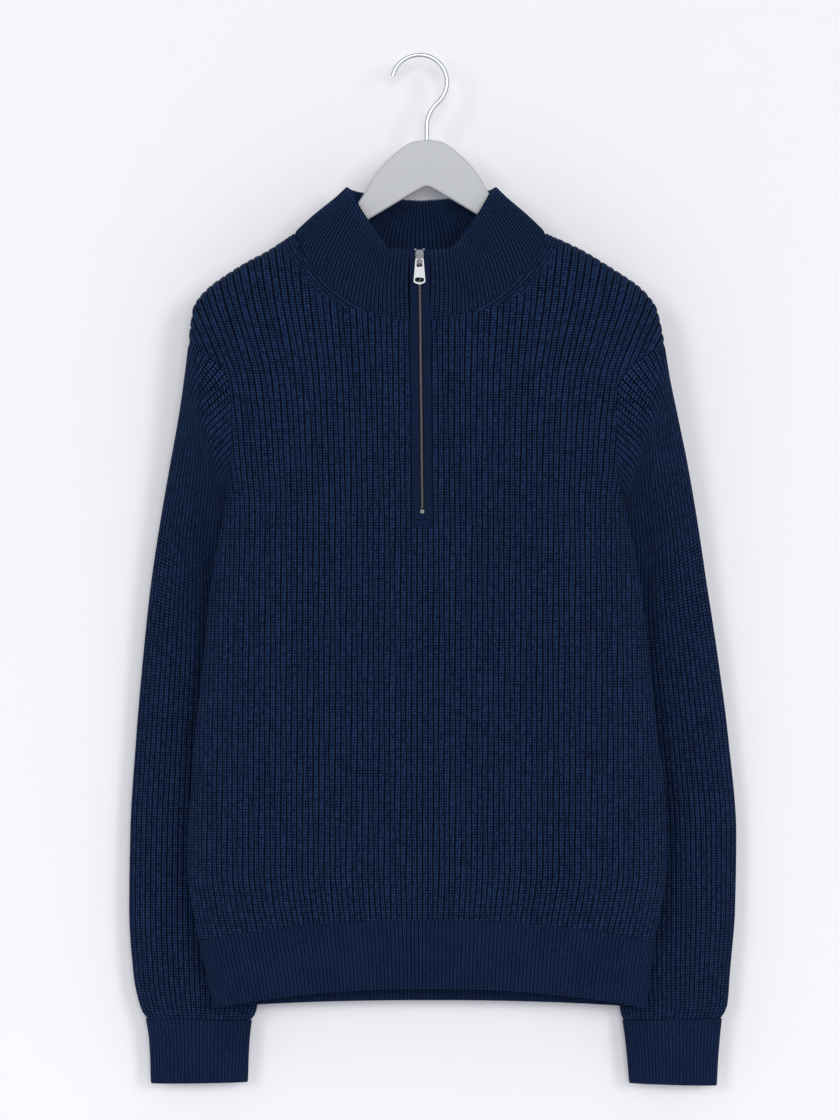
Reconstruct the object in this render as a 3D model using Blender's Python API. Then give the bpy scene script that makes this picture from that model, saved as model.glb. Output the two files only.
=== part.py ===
"""A quarter zip sweater in chunky rib knit, hanging from a moulded hanger.

The front of the sweater faces -Y, its left and right names are the wearer's (the wearer's
right is at -X), and +Z is up. The origin is on the inside of the hook, where a rail bears.
Lengths in this file are millimetres; make_object turns them into Blender's metres.
"""

from math import atan2, cos, pi, radians, sin, sqrt

import bmesh
import bpy
import numpy as np

MM = 0.001

# Driving dimensions
WALL = 2.5  # rib-knit cloth
COLLAR_WALL = 3.8  # the collar is knitted double and folded over at its top edge
GAP = 0.3  # between pieces that meet at a seam
UNDERARM_Z = -400.0
SHOULDER_TIP_Z = -258.0  # where the armhole seam reaches the shoulder line
ZIP_TOP_Z = -175.0
ZIP_END_Z = -424.0  # lower end of the cut in the front
ZIP_CUT = 9.0  # half the width of the cut that the zip and its bands fill
NECK_FRONT_Z = -238.0
NECK_BACK_Z = -177.0
HANGER_X = 6.5  # the hanger's centre line, beside the hook's
HOOK_WIRE = 4.2  # diameter
HOOK_RADIUS = 24.75  # of the wire's centre line round the rail

# Faceting
HALF_COLUMNS = 10  # of a panel, from its side to the cut at the centre
UPPER_ROWS = 13  # of a panel, from the underarm to the shoulder
SHOULDER_COLUMNS = 5  # of those HALF_COLUMNS, how many end on the shoulder seam
NECK_CROWDING = 1.35  # over 1 sets the other columns closer together by the shoulder seam
ZIP_STEPS = 14

# The body's level sections, one row for each height: left and right edge, then how far the
# front and the back stand out from the plane of the side seams.
BODY_COLUMNS = ("z", "left", "right", "front", "back")
BODY_SECTIONS = (
    (-858, -186, 204.5, 32, 14),
    (-828, -192, 208, 34, 15),
    (-797, -199, 212, 37, 17),
    (-765, -205, 218, 41, 19),
    (-737, -209, 222.5, 42, 20),
    (-700, -208.5, 222.5, 42, 20),
    (-655, -205.5, 220, 42, 20),
    (-600, -201, 213, 41, 20),
    (-542, -194.5, 206.5, 40, 20),
    (-492, -190, 201.5, 39, 19),
    (-450, -184, 195, 38, 19),
    (-400, -176, 186, 37, 18),
    (-385, -184, 195, 37, 18),
    (-360, -203, 213, 36, 18),
    (-330, -213, 227, 36, 18),
    (-300, -213.5, 226.5, 35, 19),
    (-258, -208.5, 221, 33, 20),
    (-241, -206.5, 217.5, 31.5, 20),
    (-226, -204, 213.5, 29.5, 20),
    (-217, -198.5, 207.5, 28, 20),
    (-208, -190, 199, 26.5, 20),
    (-195, -172, 180.5, 24, 19.5),
    (-184, -154, 163, 22, 19),
    (-175, -137, 148, 19, 17.5),
    (-159, -113, 114, 13, 13),
)
# Superellipse exponents of the sections: the back is fuller over the hanger's arms and
# leaner below them, where the sleeves hang behind it.
FRONT_POWER = 2.6
BACK_POWER = 2.1
ARM_POWER = 2.7
ARM_POWER_Z = (-330.0, -260.0)

# How far the middle of a level row of stitches rides above its ends at the side seams.
LIFT_COLUMNS = ("z", "front", "back")
ROW_LIFT = (
    (-858, 18.5, 6),
    (-797, 20, 8),
    (-765, 12, 5),
    (-737, 5, 2),
    (-690, 0, 0),
    (-400, 0, 0),
)
LIFT_POWER = 2.2
HEM_Z = -797.0
HEM_BOTTOM_Z = -858.0
LOWER_ROWS = (-828, HEM_Z, -772, -737, -695, -650, -600, -550, -500, -458, ZIP_END_Z, -411)

# Where the armhole seam crosses each height, on the front and on the back alike.
ARMHOLE_COLUMNS = ("z", "left", "right")
ARMHOLE = (
    (UNDERARM_Z, -176, 186),
    (-390, -172.5, 181.5),
    (-365, -170, 178.5),
    (-330, -169, 177),
    (-300, -170.5, 178),
    (-287, -174, 184),
    (-277, -183, 194),
    (-266, -197, 209),
    (SHOULDER_TIP_Z, -208.5, 221),
)

# The collar's folded top edge, from the zip round to the centre back, by share of the way.
COLLAR_COLUMNS = ("share", "x", "y", "z")
COLLAR_TOP = (
    (0.00, 9, -38, -175),
    (0.08, 27, -37, -173.5),
    (0.16, 38, -31, -160),
    (0.27, 51, -22, -141),
    (0.37, 61.5, -10, -122.5),
    (0.44, 65.5, 2, -117),
    (0.52, 61.5, 12, -119),
    (0.68, 44, 20, -123),
    (0.84, 22, 23.5, -127),
    (1.00, 0, 24.5, -128.5),
)
COLLAR_LEFT_REACH = 1.05  # its +X half stands this much further out
COLLAR_BULGE = 2.5
COLLAR_ROWS = 4

# Sleeve rings: outer and inner end of each flattened ring, its middle's depth, half its
# thickness, and how much deeper the inner end lies than the outer.
SLEEVE_COLUMNS = ("outer_x", "outer_z", "inner_x", "inner_z", "depth", "half", "lean")
RIGHT_SLEEVE = (  # the wearer's right, at -X
    (-212, -288, -178.5, -410, 4, 25, 1),
    (-217, -322, -177.5, -423, 13, 23, 5),
    (-225, -366, -174, -443, 22, 22, 8),
    (-234, -417, -163, -470, 28, 20, 9),
    (-243, -476, -153, -503, 32, 19, 9),
    (-250, -540, -146, -552, 34, 19, 8),
    (-257, -620, -144, -624, 36, 18, 7),
    (-262, -700, -143, -700, 36, 18, 6),
    (-263, -770, -143, -772, 35, 18, 5),
    (-259, -830, -145, -834, 33, 18, 4),
    (-253, -858, -148, -862, 32, 17, 3),
    (-248, -869, -152, -871, 31, 16, 3),
)
LEFT_SLEEVE = (
    (226, -290, 188.5, -410, 4, 25, 1),
    (233, -323, 187.5, -423, 13, 23, 5),
    (242, -366, 184, -443, 22, 22, 8),
    (251, -417, 174, -470, 28, 20, 9),
    (260, -476, 167, -503, 32, 19, 9),
    (270, -541, 165, -552, 34, 19, 8),
    (280, -618, 169, -624, 36, 18, 7),
    (287, -702, 173, -700, 36, 18, 6),
    (286, -768, 176, -772, 35, 18, 5),
    (281, -830, 180, -834, 33, 18, 4),
    (279, -856, 182, -860, 32, 17, 3),
    (274, -869, 184, -871, 31, 16, 3),
)
RIGHT_CUFF = (
    (-248, -869.3, -152, -871.3, 31, 16, 3),
    (-245, -889, -154, -889, 30, 15.5, 2),
    (-244, -908, -155, -909, 30, 15, 2),
    (-243.5, -928, -155.5, -927, 30, 15, 2),
)
LEFT_CUFF = (
    (274, -869.3, 184, -871.3, 31, 16, 3),
    (272, -889, 186.5, -889, 30, 15.5, 2),
    (270.5, -908, 188.5, -909, 30, 15, 2),
    (269.5, -930, 190, -928, 30, 15, 2),
)
SLEEVE_POWER = 2.1

# The hanger's upper edge, by distance from its centre line; its underside is a straight
# slope from a small round at the middle.
HANGER_COLUMNS = ("reach", "z")
HANGER_TOP = (
    (0, -74.5),
    (13, -76.5),
    (20, -80.2),
    (27, -85.6),
    (36.5, -94.3),
    (46, -105.7),
    (54.5, -120.3),
    (63, -132.8),
    (73.5, -144.8),
    (83.5, -153.2),
    (93.5, -160.2),
    (118, -175.3),
    (160, -199),
    (186, -214),
    (191, -218),
    (193.5, -224),
)
HANGER_HALF = 5.0  # half its thickness
HANGER_UNDER_Z = -117.0
HANGER_UNDER_SLOPE = 0.6
HANGER_UNDER_ROUND = 3.0
HANGER_UNDER_REACHES = (150, 90, 40, 20, 10, 5, 2)
HANGER_EDGE = 1.8
HOOK_SOCKET_Z = -90.0
SOCKET_SIDES = 16
HOOK_TIP_ANGLE = 167.0  # degrees round the rail from +X, where the wire ends
HOOK_BEND_RADIUS = 30.0  # of the second bend, back onto the hanger's centre line

# The zip's layers, as depths behind the cloth's outer surface
BAND_Y = (0.0, WALL)
CHAIN_Y = (0.4, 2.4)
TAPE_Y = (2.8, 3.4)
BAND_X = (2.4, ZIP_CUT - GAP)
CHAIN_X = (0.1, 1.6)
TAPE_X = (1.9, 7.8)
CHAIN_TOP_Z = -178.7
CHAIN_END_Z = -408.5
STOP_END_Z = -412.0
BAND_END_Z = -417.7
BOX_TOP_Z = -418.0
STOP_X = (3.0, 4.6)
STOP_Y = (-1.0, -0.3)
STOP_Z = (-175.9, -174.4)
STOP_END_HALF = 1.6
STOP_END_Y = (0.2, 2.4)

# The slider, from its front line's y at its own height
SLIDER_TOP_Z = -175.6
SLIDER_END_Z = -188.6
SLIDER_FRONT_Y = (-1.9, -0.5)
SLIDER_BACK_Y = (3.9, 5.1)
SLIDER_OUTLINE = ((2.5, 0.0), (3.6, -2.4), (3.6, -6.7), (2.9, -11.0), (2.2, -13.0))
POST_HALF = 1.0
POST_Z = (-178.3, -175.9)
BRIDGE_HALF = 1.3
BRIDGE_Y = (-6.1, -1.7)
BRIDGE_Z = (-188.1, -178.6)
BRIDGE_HOLE_Y = (-4.7, -1.9)
BRIDGE_HOLE_Z = (-185.4, -180.0)

# The pull tab, about the axis of its top bar
PULL_AXIS_Z = -184.0
PULL_AXIS_Y = -3.3  # from the front line
PULL_THICK = 1.5
PULL_TOP_HALF = 3.6
PULL_LOW_HALF = 5.4
PULL_SIDE_END = -20.9
PULL_POINT = -23.0
PULL_HOLE_HALF = 2.55
PULL_HOLE_Z = (-6.4, -0.75)
PULL_SLOT = ((3.2, -17.4), (4.1, -18.7), (3.3, -19.9), (0.0, -20.6))

# Colours: heathered navy yarn, satin nickel, grey plastic, zinc-plated wire
NAVY = (0.0100, 0.0208, 0.0560)
NAVY_TAPE = (0.0060, 0.0110, 0.0300)
NICKEL = (0.62, 0.62, 0.64)
HANGER_GREY = (0.50, 0.51, 0.54)
WIRE = (0.70, 0.70, 0.72)


def material(name, colour, roughness, metallic=0.0):
    """A Principled material with one colour, roughness and metallic value."""
    made = bpy.data.materials.new(name)
    made.use_nodes = True
    shader = made.node_tree.nodes["Principled BSDF"]
    shader.inputs["Base Color"].default_value = (*colour, 1)
    shader.inputs["Roughness"].default_value = roughness
    shader.inputs["Metallic"].default_value = metallic
    return made


def make_object(name, points, faces, finish, smooth=True):
    """One closed mesh object from points in millimetres, its faces turned outward."""
    mesh = bpy.data.meshes.new(name)
    mesh.from_pydata([tuple(MM * float(c) for c in p) for p in points], [], faces)
    work = bmesh.new()
    work.from_mesh(mesh)
    bmesh.ops.recalc_face_normals(work, faces=work.faces[:])
    work.to_mesh(mesh)
    work.free()
    if smooth:
        mesh.shade_smooth()
        mesh.set_sharp_from_angle(angle=radians(50))
    made = bpy.data.objects.new(name, mesh)
    made.data.materials.append(finish)
    bpy.context.scene.collection.objects.link(made)
    return made


def through(at, values, where):
    """Values on a smooth curve through the rows (at, values), which never overshoots them."""
    at, values = np.asarray(at, float), np.asarray(values, float)
    where = np.clip(where, at[0], at[-1])
    slope = np.diff(values) / np.diff(at)
    before, after = slope[:-1], slope[1:]
    same = before * after > 0
    inner = np.where(same, 2 * before * after / np.where(same, before + after, 1), 0)
    tangent = np.concatenate([slope[:1], inner, slope[-1:]])
    i = np.clip(np.searchsorted(at, where, side="right") - 1, 0, len(at) - 2)
    step = at[i + 1] - at[i]
    s = (where - at[i]) / step
    return (
        values[i] * (1 + 2 * s) * (1 - s) ** 2
        + tangent[i] * step * s * (1 - s) ** 2
        + values[i + 1] * s * s * (3 - 2 * s)
        + tangent[i + 1] * step * s * s * (s - 1)
    )


def column(table, names, name):
    """One named column of a table, as an array."""
    return np.array([row[names.index(name)] for row in table], float)


def body(name, z):
    """A named measure of the body's section at height z."""
    return through(
        column(BODY_SECTIONS, BODY_COLUMNS, "z"), column(BODY_SECTIONS, BODY_COLUMNS, name), z
    )


def lift(side, z):
    return through(column(ROW_LIFT, LIFT_COLUMNS, "z"), column(ROW_LIFT, LIFT_COLUMNS, side), z)


def armhole(side, z):
    return through(column(ARMHOLE, ARMHOLE_COLUMNS, "z"), column(ARMHOLE, ARMHOLE_COLUMNS, side), z)


def zip_x(z):
    """The zip leans a little towards +X on its way down."""
    return 2.5 * (ZIP_TOP_Z - z) / 233.0


def share_across(x, z):
    """Where x lies across the section at height z, from -1 at the left edge to 1."""
    left, right = body("left", z), body("right", z)
    return np.clip((2 * x - left - right) / (right - left), -1, 1)


def depth(side, x, z):
    """Y of the body's outer surface at (x, z), on its front or its back."""
    power = FRONT_POWER
    if side == "back":
        power = np.interp(z, ARM_POWER_Z, (BACK_POWER, ARM_POWER))
    bulge = (1 - np.abs(share_across(x, z)) ** power) ** (1 / power)
    seam = GAP / 2
    sign = -1 if side == "front" else 1
    return sign * (seam + (body(side, z) - seam) * bulge)


def along(points, shares):
    """Points at these shares of a polyline's length."""
    steps = np.linalg.norm(np.diff(points, axis=0), axis=1)
    length = np.concatenate([[0], np.cumsum(steps)])
    where = np.asarray(shares) * length[-1]
    return np.stack([np.interp(where, length, points[:, k]) for k in range(3)], axis=1)


def path_shares(points):
    """Each point's share of its polyline's length."""
    steps = np.linalg.norm(np.diff(points, axis=0), axis=1)
    return np.concatenate([[0], np.cumsum(steps)]) / steps.sum()


def crowded(count, crowding=0.7):
    """Shares from 0 to 1, closer together near both ends."""
    s = np.linspace(0, 1, count + 1)
    return s - crowding * np.sin(2 * pi * s) / (2 * pi)


def crowded_outward(count, crowding=0.7):
    """Shares from 0 to 1, closer together near 0."""
    s = np.linspace(0, 1, count + 1)
    return s - crowding * np.sin(pi * s) / pi


def level_row(side, z):
    """A panel's points at one height, from its left side to its right, with the cut's edges."""
    slope = np.linspace(-pi / 2, pi / 2, 241)
    across = np.sin(slope)
    left, right = body("left", z), body("right", z)
    x = (left + right) / 2 + (right - left) / 2 * across
    rise = lift(side, z) * (1 - np.abs(across) ** LIFT_POWER)
    curve = np.stack([x, depth(side, x, z), z + rise], axis=1)
    halves = []
    for edge, sign in ((zip_x(z) - ZIP_CUT, -1), (zip_x(z) + ZIP_CUT, 1)):
        middle = np.array([np.interp(edge, x, curve[:, k]) for k in range(3)])
        outer = curve[x < edge - 0.5] if sign < 0 else curve[x > edge + 0.5][::-1]
        half = along(np.vstack([outer, middle]), crowded_outward(HALF_COLUMNS))
        halves.append(half if sign < 0 else half[::-1])
    return np.vstack(halves)


def shoulder_line(side_name, count):
    """(x, z) down the shoulder's ridge, from the armhole to the neck point."""
    z = np.linspace(SHOULDER_TIP_Z, -159, 200)
    ridge = np.stack([body(side_name, z), 0 * z, z], axis=1)
    return along(ridge, np.linspace(0, 1, count + 1))


def neck_z(side, x):
    """Height of the neckline at x, on the front or the back."""
    half = np.where(x < 0, 113.0, 114.0)
    share = np.clip(np.abs(x) / half, 0, 1)
    low = NECK_FRONT_Z if side == "front" else NECK_BACK_Z
    power = 2.3 if side == "front" else 2.6
    return -159 + (low + 159) * (1 - share**power) ** (1 / 1.25)


def top_line(side):
    """A panel's upper edge: shoulder, neckline, shoulder, as (x, z) at each column."""
    points = []
    neck_columns = HALF_COLUMNS - SHOULDER_COLUMNS
    for name, sign in (("left", -1), ("right", 1)):
        shoulder = shoulder_line(name, SHOULDER_COLUMNS)[:, [0, 2]]
        corner = shoulder[-1, 0]
        edge = zip_x(NECK_FRONT_Z) + sign * ZIP_CUT
        dense = np.linspace(corner, edge, 200)
        neck = np.stack([dense, 0 * dense, neck_z(side, dense)], axis=1)
        neck = along(neck, np.linspace(0, 1, neck_columns + 1) ** NECK_CROWDING)[1:, [0, 2]]
        half = np.vstack([shoulder, neck])
        points.append(half if sign < 0 else half[::-1])
    return np.vstack(points)


def upper_rows(side):
    """A panel's rows above the underarm: a patch between four edge curves in (x, z)."""
    bottom = level_row(side, UNDERARM_Z)[:, [0, 2]]
    top = top_line(side)
    u = path_shares(bottom)[:, None]
    # Each armhole's bow fades out towards the cut at the centre, which stays straight.
    near_left = np.clip(1 - u / u[HALF_COLUMNS], 0, 1) ** 1.2
    near_right = np.clip((u - u[HALF_COLUMNS + 1]) / (1 - u[HALF_COLUMNS + 1]), 0, 1) ** 1.2
    rows = []
    for v in crowded(UPPER_ROWS)[1:]:
        z = UNDERARM_Z + v * (SHOULDER_TIP_Z - UNDERARM_Z)
        bow = []
        for name, end in (("left", 0), ("right", -1)):
            edge = np.array([armhole(name, z), z])
            bow.append(edge - (1 - v) * bottom[end] - v * top[end])
        flat = (1 - v) * bottom + v * top + near_left * bow[0] + near_right * bow[1]
        y = depth(side, flat[:, 0], flat[:, 1])
        rows.append(np.stack([flat[:, 0], y, flat[:, 1]], axis=1))
    return rows


def unit(vectors):
    return vectors / np.maximum(np.linalg.norm(vectors, axis=-1, keepdims=True), 1e-9)


def normals(grid, closed=False):
    """Unit normals of a grid of points, from its neighbours along both ways."""
    down = np.gradient(grid, axis=0)
    if closed:
        across = (np.roll(grid, -1, axis=1) - np.roll(grid, 1, axis=1)) / 2
    else:
        across = np.gradient(grid, axis=1)
    return unit(np.cross(across, down))


def beyond(ring, out, towards, closed=False):
    """Unit vectors across a panel's edge, in its surface, on the side of the vectors towards."""
    if closed:
        tangent = np.roll(ring, -1, axis=0) - np.roll(ring, 1, axis=0)
    else:
        tangent = np.gradient(ring, axis=0)
    away = unit(np.cross(tangent, out))
    return away * np.sign((away * towards).sum(axis=1, keepdims=True))


def shell(name, outer, inner, finish, closed=False, missing=()):
    """A wall between two matching grids of points, less its missing cells (row, column)."""
    rows, columns = outer.shape[:2]
    count = rows * columns
    faces, edges = [], set()
    for r in range(rows - 1):
        for c in range(columns if closed else columns - 1):
            if (r, c) in missing:
                continue
            right = (c + 1) % columns
            ring = (
                r * columns + c,
                r * columns + right,
                (r + 1) * columns + right,
                (r + 1) * columns + c,
            )
            faces.append(ring)
            faces.append(tuple(i + count for i in reversed(ring)))
            edges |= set(zip(ring, ring[1:] + ring[:1]))
    for a, b in sorted(edges):
        if (b, a) not in edges:
            faces.append((b, a, a + count, b + count))
    points = np.vstack([outer.reshape(-1, 3), inner.reshape(-1, 3)])
    return make_object(name, points, faces, finish)


def form_normals(side, points):
    """Outward unit normals of the body's form, from its depth a little to each side."""
    step = 0.5
    x, z = points[..., 0], points[..., 2]
    by_x = (depth(side, x + step, z) - depth(side, x - step, z)) / (2 * step)
    by_z = (depth(side, x, z + step) - depth(side, x, z - step)) / (2 * step)
    sign = -1 if side == "front" else 1
    return unit(sign * np.stack([-by_x, np.ones_like(x), -by_z], axis=-1))


def ridge_normals(side_name, z):
    """Outward unit normals of the body's outline at its left or right edge, in y = 0."""
    step = 0.5
    lean = (body(side_name, z + step) - body(side_name, z - step)) / (2 * step)
    sign = -1 if side_name == "left" else 1
    return unit(sign * np.stack([np.ones_like(z), 0 * z, -lean], axis=-1))


def panel_grids(side):
    """Outer and inner points of a whole panel, hem to shoulder."""
    lower = [level_row(side, z) for z in (HEM_BOTTOM_Z, *LOWER_ROWS, UNDERARM_Z)]
    outer = np.array(lower + upper_rows(side))
    out = normals(outer)
    if out[5, HALF_COLUMNS, 1] * outer[5, HALF_COLUMNS, 1] < 0:
        out = -out
    sides = len(lower)
    out[sides:] = form_normals(side, outer[sides:])
    # The side and shoulder seams lie in the plane y = 0, so both panels' edges face there.
    for name, end, shoulder in (
        ("left", 0, slice(0, SHOULDER_COLUMNS + 1)),
        ("right", -1, slice(-SHOULDER_COLUMNS - 1, None)),
    ):
        out[:sides, end] = ridge_normals(name, outer[:sides, end, 2])
        out[-1, shoulder] = ridge_normals(name, outer[-1, shoulder, 2])
    return outer, outer - WALL * out, sides - 1


def body_pieces(finish):
    """Front, back and both hems. Returns each panel's grids and its underarm row."""
    grids = {}
    hem_row = 1 + LOWER_ROWS.index(HEM_Z)
    cut_row = 1 + LOWER_ROWS.index(ZIP_END_Z)
    for side in ("front", "back"):
        outer, inner, underarm = panel_grids(side)
        grids[side] = (outer, inner, underarm)
        middle = HALF_COLUMNS
        cut = set()
        if side == "front":
            cut = {(r - hem_row, middle) for r in range(cut_row, len(outer) - 1)}
        shell(f"{side}_panel", outer[hem_row:], inner[hem_row:], finish, missing=cut)
        drop = np.array([0, 0, -GAP])
        hem_outer, hem_inner = outer[: hem_row + 1].copy(), inner[: hem_row + 1].copy()
        hem_outer[-1] += drop
        hem_inner[-1] += drop
        shell(f"hem_{side}", hem_outer, hem_inner, finish)
    return grids


def armhole_ring(grids, end):
    """A panel pair's armhole edge as outer and inner rings, from the shoulder round the front."""
    rings = []
    for layer in (0, 1):
        front = grids["front"][layer][grids["front"][2] :, end][::-1]
        back = grids["back"][layer][grids["back"][2] :, end]
        ring = np.vstack([front, back[1:-1]])
        middle_rows = len(front) - 1
        ring[0] = (front[0] + back[-1]) / 2
        ring[middle_rows] = (front[-1] + back[0]) / 2
        rings.append(ring)
    return rings


def flat_ring(row, shares):
    """A flattened tube's ring for one row of a sleeve or cuff table."""
    value = dict(zip(SLEEVE_COLUMNS, row))
    outer = np.array([value["outer_x"], value["depth"] - value["lean"], value["outer_z"]])
    inner = np.array([value["inner_x"], value["depth"] + value["lean"], value["inner_z"]])
    turn = np.linspace(0, 2 * pi, 361)
    power = 2 / SLEEVE_POWER
    across = np.sign(np.cos(turn)) * np.abs(np.cos(turn)) ** power
    bulge = -np.sign(np.sin(turn)) * np.abs(np.sin(turn)) ** power
    middle, half = (outer + inner) / 2, (outer - inner) / 2
    curve = middle + across[:, None] * half
    curve[:, 1] += bulge * value["half"]
    return along(curve, shares)


def ring_shares(count):
    """Shares round a ring, crowded at its outer and inner ends alike."""
    half = crowded(count // 2, 0.5)
    return np.concatenate([half[:-1] / 2, 0.5 + half[:-1] / 2])


def sleeve_pieces(grids, finish):
    for name, end, sleeve, cuff in (
        ("right", 0, RIGHT_SLEEVE, RIGHT_CUFF),
        ("left", -1, LEFT_SLEEVE, LEFT_CUFF),
    ):
        ring, inner_ring = armhole_ring(grids, end)
        shares = ring_shares(len(ring))
        rings = [flat_ring(row, shares) for row in sleeve]
        away = GAP * beyond(ring, unit(ring - inner_ring), rings[0] - ring, closed=True)
        outer = np.array([ring + away] + rings)
        out = normals(outer, closed=True)
        if (out[6, 0] * (outer[6, 0] - outer[6].mean(axis=0))).sum() < 0:
            out = -out
        inner = outer - WALL * out
        inner[0] = inner_ring + away
        shell(f"sleeve_{name}", outer, inner, finish, closed=True)
        outer = np.array([flat_ring(row, shares) for row in cuff])
        out = normals(outer, closed=True)
        if (out[1, 0] * (outer[1, 0] - outer[1].mean(axis=0))).sum() < 0:
            out = -out
        shell(f"cuff_{name}", outer, outer - WALL * out, finish, closed=True)


def collar_top(shares, sign):
    """Points of the collar's top edge on one half, at these shares from zip to centre back."""
    at = column(COLLAR_TOP, COLLAR_COLUMNS, "share")
    x, y, z = (through(at, column(COLLAR_TOP, COLLAR_COLUMNS, k), shares) for k in "xyz")
    x = x * COLLAR_LEFT_REACH if sign > 0 else -x
    return np.stack([x, y, z], axis=1)


def neck_ring(front, back):
    """The neckline's values round from the cut's -X edge, by the back, to its +X edge."""
    neck = HALF_COLUMNS - SHOULDER_COLUMNS
    middle = HALF_COLUMNS
    ahead = {-1: front[SHOULDER_COLUMNS : middle + 1][::-1], 1: front[middle + 1 : middle + neck + 2]}
    behind = {-1: back[SHOULDER_COLUMNS : middle + 1], 1: back[middle + 1 : middle + neck + 2][::-1]}
    halves = {}
    for sign in (-1, 1):
        corner = (ahead[sign][-1] + behind[sign][0]) / 2
        halves[sign] = np.vstack([ahead[sign][:-1], corner, behind[sign][1:]])
    return np.vstack([halves[-1], halves[1][::-1]])


def collar_grid(grids):
    """The collar's outer points in rows from the neckline up, and the neckline's directions."""
    (front, front_in, _), (back, back_in, _) = grids["front"], grids["back"]
    base = neck_ring(front[-1], back[-1])
    out = unit(neck_ring(front[-1] - front_in[-1], back[-1] - back_in[-1]))
    count = len(base) // 2
    corner = HALF_COLUMNS - SHOULDER_COLUMNS
    ahead = path_shares(base[: corner + 1]) / 2
    behind = 0.5 + path_shares(base[corner:count]) * 0.42
    shares = np.concatenate([ahead, behind[1:]])
    top = np.vstack([collar_top(shares, -1), collar_top(shares, 1)[::-1]])
    base = base + GAP * beyond(base, out, top - base)
    outward = unit((base - base.mean(axis=0)) * np.array([1, 1, 0]))
    rows = []
    for h in np.linspace(0, 1, COLLAR_ROWS + 1):
        rows.append(base + h * (top - base) + COLLAR_BULGE * sin(pi * h) * outward)
    return np.array(rows), out


def collar_piece(grids, finish):
    outer, base_out = collar_grid(grids)
    out = normals(outer)
    middle = outer.reshape(-1, 3).mean(axis=0)
    if (out[2, 8] * (outer[2, 8] - middle)).sum() < 0:
        out = -out
    # Its foot lies square on the neckline, and its edges at the cut stay square to that.
    out[0] = base_out
    out[:, [0, -1], 0] = 0
    out = unit(out)
    thick = np.full((len(outer), 1, 1), COLLAR_WALL)
    thick[0] = WALL
    shell("collar", outer, outer - thick * out, finish)
    return outer


def front_line(collar, z):
    """Y of the front's outer surface at the zip, at heights z, up the body and the collar."""
    z = np.asarray(z, float)
    edge = (collar[:, 0] + collar[:, -1]) / 2
    on_collar = np.interp(z, edge[:, 2], edge[:, 1])
    on_body = -body("front", z)
    return np.where(z > edge[0, 2], on_collar, on_body)


def zip_strip(name, collar, finish, x_range, y_range, z_range):
    """A strip that follows the front from top to bottom, with a rectangular section."""
    z = np.linspace(*z_range, ZIP_STEPS + 1)
    line = front_line(collar, z)
    x0, x1 = x_range
    y0, y1 = y_range
    points, faces = [], []
    for at, y in zip(z, line):
        x = zip_x(at)
        points += [(x + x0, y + y0, at), (x + x1, y + y0, at), (x + x1, y + y1, at), (x + x0, y + y1, at)]
    for i in range(ZIP_STEPS):
        low = 4 * i
        for k in range(4):
            nxt = (k + 1) % 4
            faces.append((low + k, low + nxt, low + 4 + nxt, low + 4 + k))
    faces.append((0, 1, 2, 3))
    last = 4 * ZIP_STEPS
    faces.append((last, last + 1, last + 2, last + 3))
    return make_object(name, points, faces, finish, smooth=False)


def plate(name, outline, y_range, finish):
    """An outline of (x, z) points extruded from one y to another."""
    count = len(outline)
    points = [(x, y, z) for y in y_range for x, z in outline]
    faces = [tuple(range(count)), tuple(range(count, 2 * count))]
    for i in range(count):
        j = (i + 1) % count
        faces.append((i, j, count + j, count + i))
    return make_object(name, points, faces, finish, smooth=False)


def combine(target, operation, *others):
    """Booleans other solids into or out of target, then removes them."""
    for other in others:
        step = target.modifiers.new(operation.lower(), "BOOLEAN")
        step.operation = operation
        step.solver = "EXACT"
        step.object = other
        graph = bpy.context.evaluated_depsgraph_get()
        done = bpy.data.meshes.new_from_object(target.evaluated_get(graph))
        target.modifiers.remove(step)
        target.data = done
        bpy.data.objects.remove(other)
    return target


def box(name, x_range, y_range, z_range, finish):
    (x0, x1), (z0, z1) = x_range, z_range
    return plate(name, [(x0, z0), (x1, z0), (x1, z1), (x0, z1)], y_range, finish)


def zip_pieces(collar, band, tape, metal):
    for name, sign in (("right", -1), ("left", 1)):
        for part, xs, ys, zs, finish in (
            ("zip_band", BAND_X, BAND_Y, (ZIP_TOP_Z, BAND_END_Z), band),
            ("zip_tape", TAPE_X, TAPE_Y, (ZIP_TOP_Z - 0.6, BAND_END_Z + 1), tape),
            ("zip_chain", CHAIN_X, CHAIN_Y, (CHAIN_TOP_Z, CHAIN_END_Z), metal),
        ):
            x_range = tuple(sign * x for x in xs)
            zip_strip(f"{part}_{name}", collar, finish, x_range, ys, zs)
        y = float(front_line(collar, ZIP_TOP_Z))
        stop_x = [zip_x(ZIP_TOP_Z) + sign * x for x in STOP_X]
        box(f"zip_stop_{name}", stop_x, [y + v for v in STOP_Y], STOP_Z, metal)
    y = float(front_line(collar, CHAIN_END_Z))
    x = zip_x(CHAIN_END_Z)
    stop_z = (CHAIN_END_Z - GAP, STOP_END_Z)
    stop_x = (x - STOP_END_HALF, x + STOP_END_HALF)
    box("zip_stop_bottom", stop_x, [y + v for v in STOP_END_Y], stop_z, metal)
    y = float(front_line(collar, BOX_TOP_Z))
    x = zip_x(BOX_TOP_Z)
    wide = ZIP_CUT - GAP
    box_z = (BOX_TOP_Z, ZIP_END_Z + GAP)
    box("zip_end_box", (x - wide, x + wide), (y, y + WALL), box_z, band)


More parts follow.
